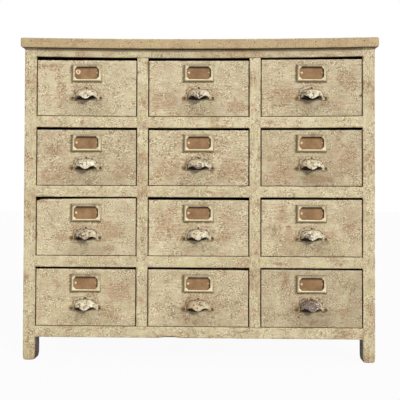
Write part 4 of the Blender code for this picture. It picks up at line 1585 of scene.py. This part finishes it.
def cup_rows(inset):
    """Rows of points over one side of the cup, from the arch on the plate to the lower edge."""
    seat = PLATE_T / 2
    reach = CUP_REACH - inset - seat
    rows = []
    for step in range(CUP_STEPS + 1):
        turn = math.pi * step / CUP_STEPS
        x, arch_z = arch_point(turn, inset)
        edge_out = reach * max(math.sin(turn), 0.0) ** (2 / CUP_PLAN_POWER)
        edge_z = scallop(min(abs(x) / (CUP_W / 2 - inset), 1.0))
        row = []
        for ring in range(CUP_RINGS + 1):
            lean = math.pi / 2 * ring / CUP_RINGS
            row.append((x, -seat - edge_out * math.sin(lean), edge_z + (arch_z - edge_z) * math.cos(lean)))
        rows.append(row)
    return rows


def cup_form():
    """The cup: an outer and an inner skin, closed along the plate and along the lower edge."""
    points, faces = [], []
    width = CUP_RINGS + 1
    skin_size = width * (CUP_STEPS + 1)
    for inset in (0.0, CUP_WALL):
        points += [point for row in cup_rows(inset) for point in row]
    for step in range(CUP_STEPS):
        here, beyond = step * width, (step + 1) * width
        for start in (0, skin_size):
            for ring in range(CUP_RINGS):
                corners = here + ring, here + ring + 1, beyond + ring + 1, beyond + ring
                faces.append([start + corner for corner in corners])
        for ring in (0, CUP_RINGS):
            faces.append([here + ring, beyond + ring, skin_size + beyond + ring, skin_size + here + ring])
    return Form(points, faces)


def bend(start, corner, end, steps, fullness=ROUND_FULLNESS):
    """Points of a curve that turns a corner, drawn towards it by its fullness, without the last."""
    start, corner, end = Vector(start), Vector(corner), Vector(end)
    handles = start.lerp(corner, fullness), end.lerp(corner, fullness)
    return interpolate_bezier(start, *handles, end, steps + 1)[:-1]


def widened(loop, by):
    """A loop of points (x, z), which runs clockwise, moved outwards."""
    ahead = np.roll(loop, -1, axis=0) - np.roll(loop, 1, axis=0)
    outward = np.stack([-ahead[:, 1], ahead[:, 0]], 1)
    return np.array(loop) + by * outward / np.linalg.norm(outward, axis=1)[:, None]


def plate_loop():
    """Outline of the pull's plate: a crest over the arch, and an ear at each lower corner."""
    side, top = CUP_W / 2 + PLATE_RIM, CUP_H + PLATE_TOP_RIM
    crest_x, crest_z, crest_top = CREST_W / 2, top + CREST_H / 2, top + CREST_H
    ear = CUP_W / 2 + EAR_REACH
    ear_x = ear - EAR_R
    inset = CUP_WALL / 2
    shoulder, waist = (CREST_W, top), (side, WAIST_H)
    right = [
        *bend((0, crest_top), (crest_x, crest_top), (crest_x, crest_z), 6),
        *bend((crest_x, crest_z), (crest_x, top), shoulder, 6),
        *bend(shoulder, (side, top), waist, 16, SHOULDER_FULLNESS),
        *bend(waist, (side, EAR_R), (ear_x, EAR_R), 12, FLARE_FULLNESS),
        *bend((ear_x, EAR_R), (ear, EAR_R), (ear, 0), 8),
        *bend((ear, 0), (ear, -EAR_R), (ear_x, -EAR_R), 8),
        (ear_x, -EAR_R),
        (CUP_W / 2 - inset, -EAR_R),
    ]
    left = [(-x, z) for x, z in reversed(right[1:])]
    arch = [arch_point(math.pi * step / CUP_STEPS, inset) for step in range(CUP_STEPS + 1)]
    return [tuple(point) for point in right + arch + left]


def plate_form():
    """The pull's bevelled plate."""
    loop = plate_loop()
    count = len(loop)
    points = [(x, -PLATE_T, z) for x, z in loop] + [(x, 0, z) for x, z in widened(loop, PLATE_BEVEL)]
    faces = [list(range(count)), list(reversed(range(count, 2 * count)))]
    return Form(points, faces + bands(2, count))


def fused(forms):
    """Closed forms that cross one another as one skin, softened as thick paint does.

    It comes with the skin's normals.
    """
    whole = joined([cleaned(form) for form in forms])
    mesh = bpy.data.meshes.new("fused")
    mesh.from_pydata(whole.points.tolist(), [], whole.faces)
    made = bpy.data.objects.new("fused", mesh)
    bpy.context.scene.collection.objects.link(made)
    remesh = made.modifiers.new("remesh", "REMESH")
    remesh.mode = "VOXEL"
    remesh.voxel_size = PULL_VOXEL
    smooth = made.modifiers.new("smooth", "SMOOTH")
    smooth.iterations = PULL_SMOOTHING
    graph = bpy.context.evaluated_depsgraph_get()
    skin = bpy.data.meshes.new_from_object(made.evaluated_get(graph))
    points = np.array([vertex.co for vertex in skin.vertices])
    normals = np.array([vertex.normal for vertex in skin.vertices])
    faces = [tuple(face.vertices) for face in skin.polygons]
    bpy.data.objects.remove(made)
    bpy.data.meshes.remove(mesh)
    bpy.data.meshes.remove(skin)
    return Form(points, faces), normals


def spread(form, values, rounds):
    """Values at a form's points, averaged with those of their neighbours a few times."""
    pairs = np.array([pair for face in form.faces for pair in zip(face, face[1:] + face[:1])])
    for _ in range(rounds):
        total, count = values.copy(), np.ones(len(values))
        for here, beyond in (pairs.T, pairs.T[::-1]):
            np.add.at(total, here, values[beyond])
            np.add.at(count, here, 1)
        values = total / (count if values.ndim == 1 else count[:, None])
    return values


def mark_skin(form, normals):
    """Marks a pull's skin: painted shade inside the cup, creases, dirt on the plate, and a painted highlight
    on the right tail.
    """
    heart = np.array((0, -CUP_REACH / 3, CUP_H / 3))
    away = form.points - heart
    facing = (normals * away).sum(1) / np.linalg.norm(away, axis=1)
    out = -form.y
    hollow = ((spread(form, form.points, 1) - form.points) * normals).sum(1)
    crease = unit(spread(form, hollow, 2) / CREASE)
    across = (np.abs(form.x) / (CUP_W / 2)) ** CUP_ARCH_POWER
    up = np.clip(form.z / CUP_H, 0, None) ** CUP_ARCH_POWER
    beyond = CUP_H * ((across + up) ** (1 / CUP_ARCH_POWER) - 1)
    seam = unit(SEAM_GAIN * eased(np.abs(beyond), SEAM_W)) * (out < 2 * PLATE_T)
    # Painted shade on the cup's inner skin
    form.marks["inside"] = unit(-INSIDE_GAIN * facing) * (out > PLATE_T) * (beyond < -CUP_WALL / 2)
    uneven = unit(SEAM_EVEN + SEAM_WAVER * field(form.points, SEAM_SIZE))
    rim = RIM_DIRT * (out < RIM_SHARE * PLATE_T)
    crease = np.maximum.reduce([CREASE_SHARE * crease, SEAM_SHARE * seam * uneven, rim])
    # A painted highlight on the cup's lower right tail, kept clear of creases, dirt and tan
    tail = eased(TAIL_X - form.x, TAIL_FADE) * eased(form.z - TAIL_TOP, TAIL_FADE)
    outside_tail_highlight = 1 - TAIL_SHARE * tail * (form.x < TAIL_END)
    ear = unit((np.abs(form.x) - CUP_W / 2) / EAR_R)
    plate = eased(out - PLATE_T, PLATE_T)
    form.marks["crease"] = crease * outside_tail_highlight
    form.marks["dirt"] = np.maximum(PLATE_DIRT * plate, EAR_DIRT * ear) * outside_tail_highlight
    form.marks["tan"] = PLATE_TAN * plate * outside_tail_highlight


def pull_chips(tag, form, skin):
    """Where a pull's paint has chipped off: 1 there, and 0 elsewhere."""
    ragged = field(form.points, PULL_CHIP_SIZE)
    ragged = ragged + CHIP_FINE_SHARE * field(form.points, PULL_CHIP_SIZE / CHIP_FINE, 3)
    if tag in PULL_BARE_SPOTS:
        x, z, reach = (size * MM for size in PULL_BARE_SPOTS[tag])
        ragged += np.exp(-(((skin.x - x) / reach) ** 2) - ((skin.z - z) / reach) ** 2)
    bare = np.quantile(ragged, 1 - PULL_BARE[tag])
    return unit((ragged - bare) * CHIP_GAIN + 0.5)


def build_pull(tag, skin, normals):
    """A drawer's cup pull, lumpy with old paint that has chipped in places, and its three screws."""
    node, body = f"cup_pull_{tag}", f"drawer_{tag}"
    low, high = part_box(node)
    seat = Vector(((low.x + high.x) / 2, high.y, low.z + EAR_R))
    form = skin.moved(seat)
    chip = pull_chips(tag, form, skin)
    lump = PULL_LUMP * field(form.points, PULL_LUMP_SIZE, 7)
    lump += PULL_PIT * field(form.points, PULL_PIT_SIZE, 8)
    pits = np.clip(-PIT_GAIN * lump / PULL_LUMP - PIT_START, 0, PIT_MOST)
    on_face = form.y > high.y - PULL_SEATED
    shift = np.where(on_face, 0, np.minimum(lump, PULL_LUMP_MOST) - PULL_CHIP * chip)
    form.points += normals * shift[:, None]
    # The cup's left side is tanned more, as painted shade away from the light
    leftness = -skin.x / (CUP_W / 2)
    tan = np.maximum(skin.marks["tan"], PULL_TAN[tag] + PULL_LEFT_SHADE * leftness)
    form.marks = {**skin.marks, "chip": chip, "tan": unit(tan)}
    form.deepen("crease", pits)
    piece(f"pull_{tag}", [(form, PULL_FINISH)], "pull_iron", body, node)
    crest = CUP_H + CREST_SCREW_RISE
    ear = CUP_W / 2 + EAR_REACH - EAR_R
    screws = []
    for x, z, radius in ((0, crest, CREST_SCREW_R), (-ear, 0, EAR_SCREW_R), (ear, 0, EAR_SCREW_R)):
        place = seat + Vector((x, -PLATE_T + PULL_SCREW_SUNK, z))
        screws.append((screw(place, radius, PULL_SCREW_H), SCREW_DARK))
    piece(f"pull_screws_{tag}", screws, "pull_iron", body)


def build_drawers():
    """All drawers, with their label holders and pulls."""
    holder = holder_form()
    skin, normals = fused([cup_form(), plate_form()])
    mark_skin(skin, normals)
    for row in range(ROWS):
        for column in range(COLUMNS):
            tag = tag_of(row, column)
            build_drawer(tag)
            build_label(tag, holder)
            build_pull(tag, skin, normals)


# Stage, light and camera


def build_floor():
    """A wide white floor, which takes a faint shadow."""
    white = Finish("floor_white", shifted=False)
    cloud = white.mottle(FLOOR_CLOUD, detail=2)
    white.plug(white.shader.inputs["Base Color"], white.blend(cloud, FLOOR_GREY, FLOOR_PALE))
    white.shader.inputs["Roughness"].default_value = FLOOR_ROUGH
    glow = white.add("Emission", Color=(1, 1, 1, 1), Strength=1.0)
    white.show(white.scaled(white.background_share(), FLOOR_GLOW), white.shader, glow, "Material Output")
    mesh = bpy.data.meshes.new("floor")
    corners = [(x * FLOOR_REACH, y * FLOOR_REACH, 0) for x, y in ((-1, -1), (1, -1), (1, 1), (-1, 1))]
    mesh.from_pydata(corners, [], [(0, 1, 2, 3)])
    mesh.materials.append(white.material)
    floor = bpy.data.objects.new("floor", mesh)
    bpy.context.scene.collection.objects.link(floor)


def build_world():
    """An even pale light from all round, and a white background."""
    world = bpy.data.worlds.new("studio")
    bpy.context.scene.world = world
    world.use_nodes = True
    nodes = Nodes(world.node_tree)
    around = world.node_tree.nodes["Background"]
    around.inputs["Color"].default_value = (1, 1, 1, 1)
    around.inputs["Strength"].default_value = AMBIENT
    white = nodes.add("Background", Color=(1, 1, 1, 1), Strength=1.0)
    nodes.show(nodes.background_share(), around, white, "World Output")


def build_lamp(name, from_where, strength, width):
    """A broad, soft lamp from a direction."""
    lamp = bpy.data.lights.new(name, "SUN")
    lamp.energy = strength
    lamp.angle = math.radians(width)
    made = bpy.data.objects.new(name, lamp)
    made.rotation_euler = Vector(from_where).to_track_quat("Z", "Y").to_euler()
    bpy.context.scene.collection.objects.link(made)


def build_camera():
    """The photograph's viewpoint."""
    yaw, pitch, roll = (math.radians(angle) for angle in (CAMERA_YAW, CAMERA_PITCH, CAMERA_ROLL))
    ahead = Vector((math.sin(yaw) * math.cos(pitch), math.cos(yaw) * math.cos(pitch), math.sin(pitch)))
    level = Vector((math.cos(yaw), -math.sin(yaw), 0))
    above = level.cross(ahead)
    right = math.cos(roll) * level + math.sin(roll) * above
    camera = bpy.data.cameras.new("camera")
    camera.sensor_width = CAMERA_SENSOR
    camera.lens = CAMERA_LENS
    made = bpy.data.objects.new("camera", camera)
    turn = Matrix((right, right.cross(ahead), -ahead)).transposed()
    camera.shift_y = -CAMERA_RISE / CAMERA_DISTANCE * CAMERA_LENS / CAMERA_SENSOR
    made.matrix_world = Matrix.Translation(Vector(CAMERA_PLACE) + CAMERA_RISE * above) @ turn.to_4x4()
    bpy.context.scene.collection.objects.link(made)
    bpy.context.scene.camera = made


build_posts()
build_rails()
build_uprights()
build_top()
build_sides()
build_rear_rails()
build_back()
dress_inside()
build_drawers()
build_floor()
build_world()
build_lamp("key", KEY_FROM, KEY_STRENGTH, KEY_WIDTH)
build_lamp("fill", FILL_FROM, FILL_STRENGTH, FILL_WIDTH)
build_camera()
bpy.context.scene.view_settings.view_transform = "Standard"
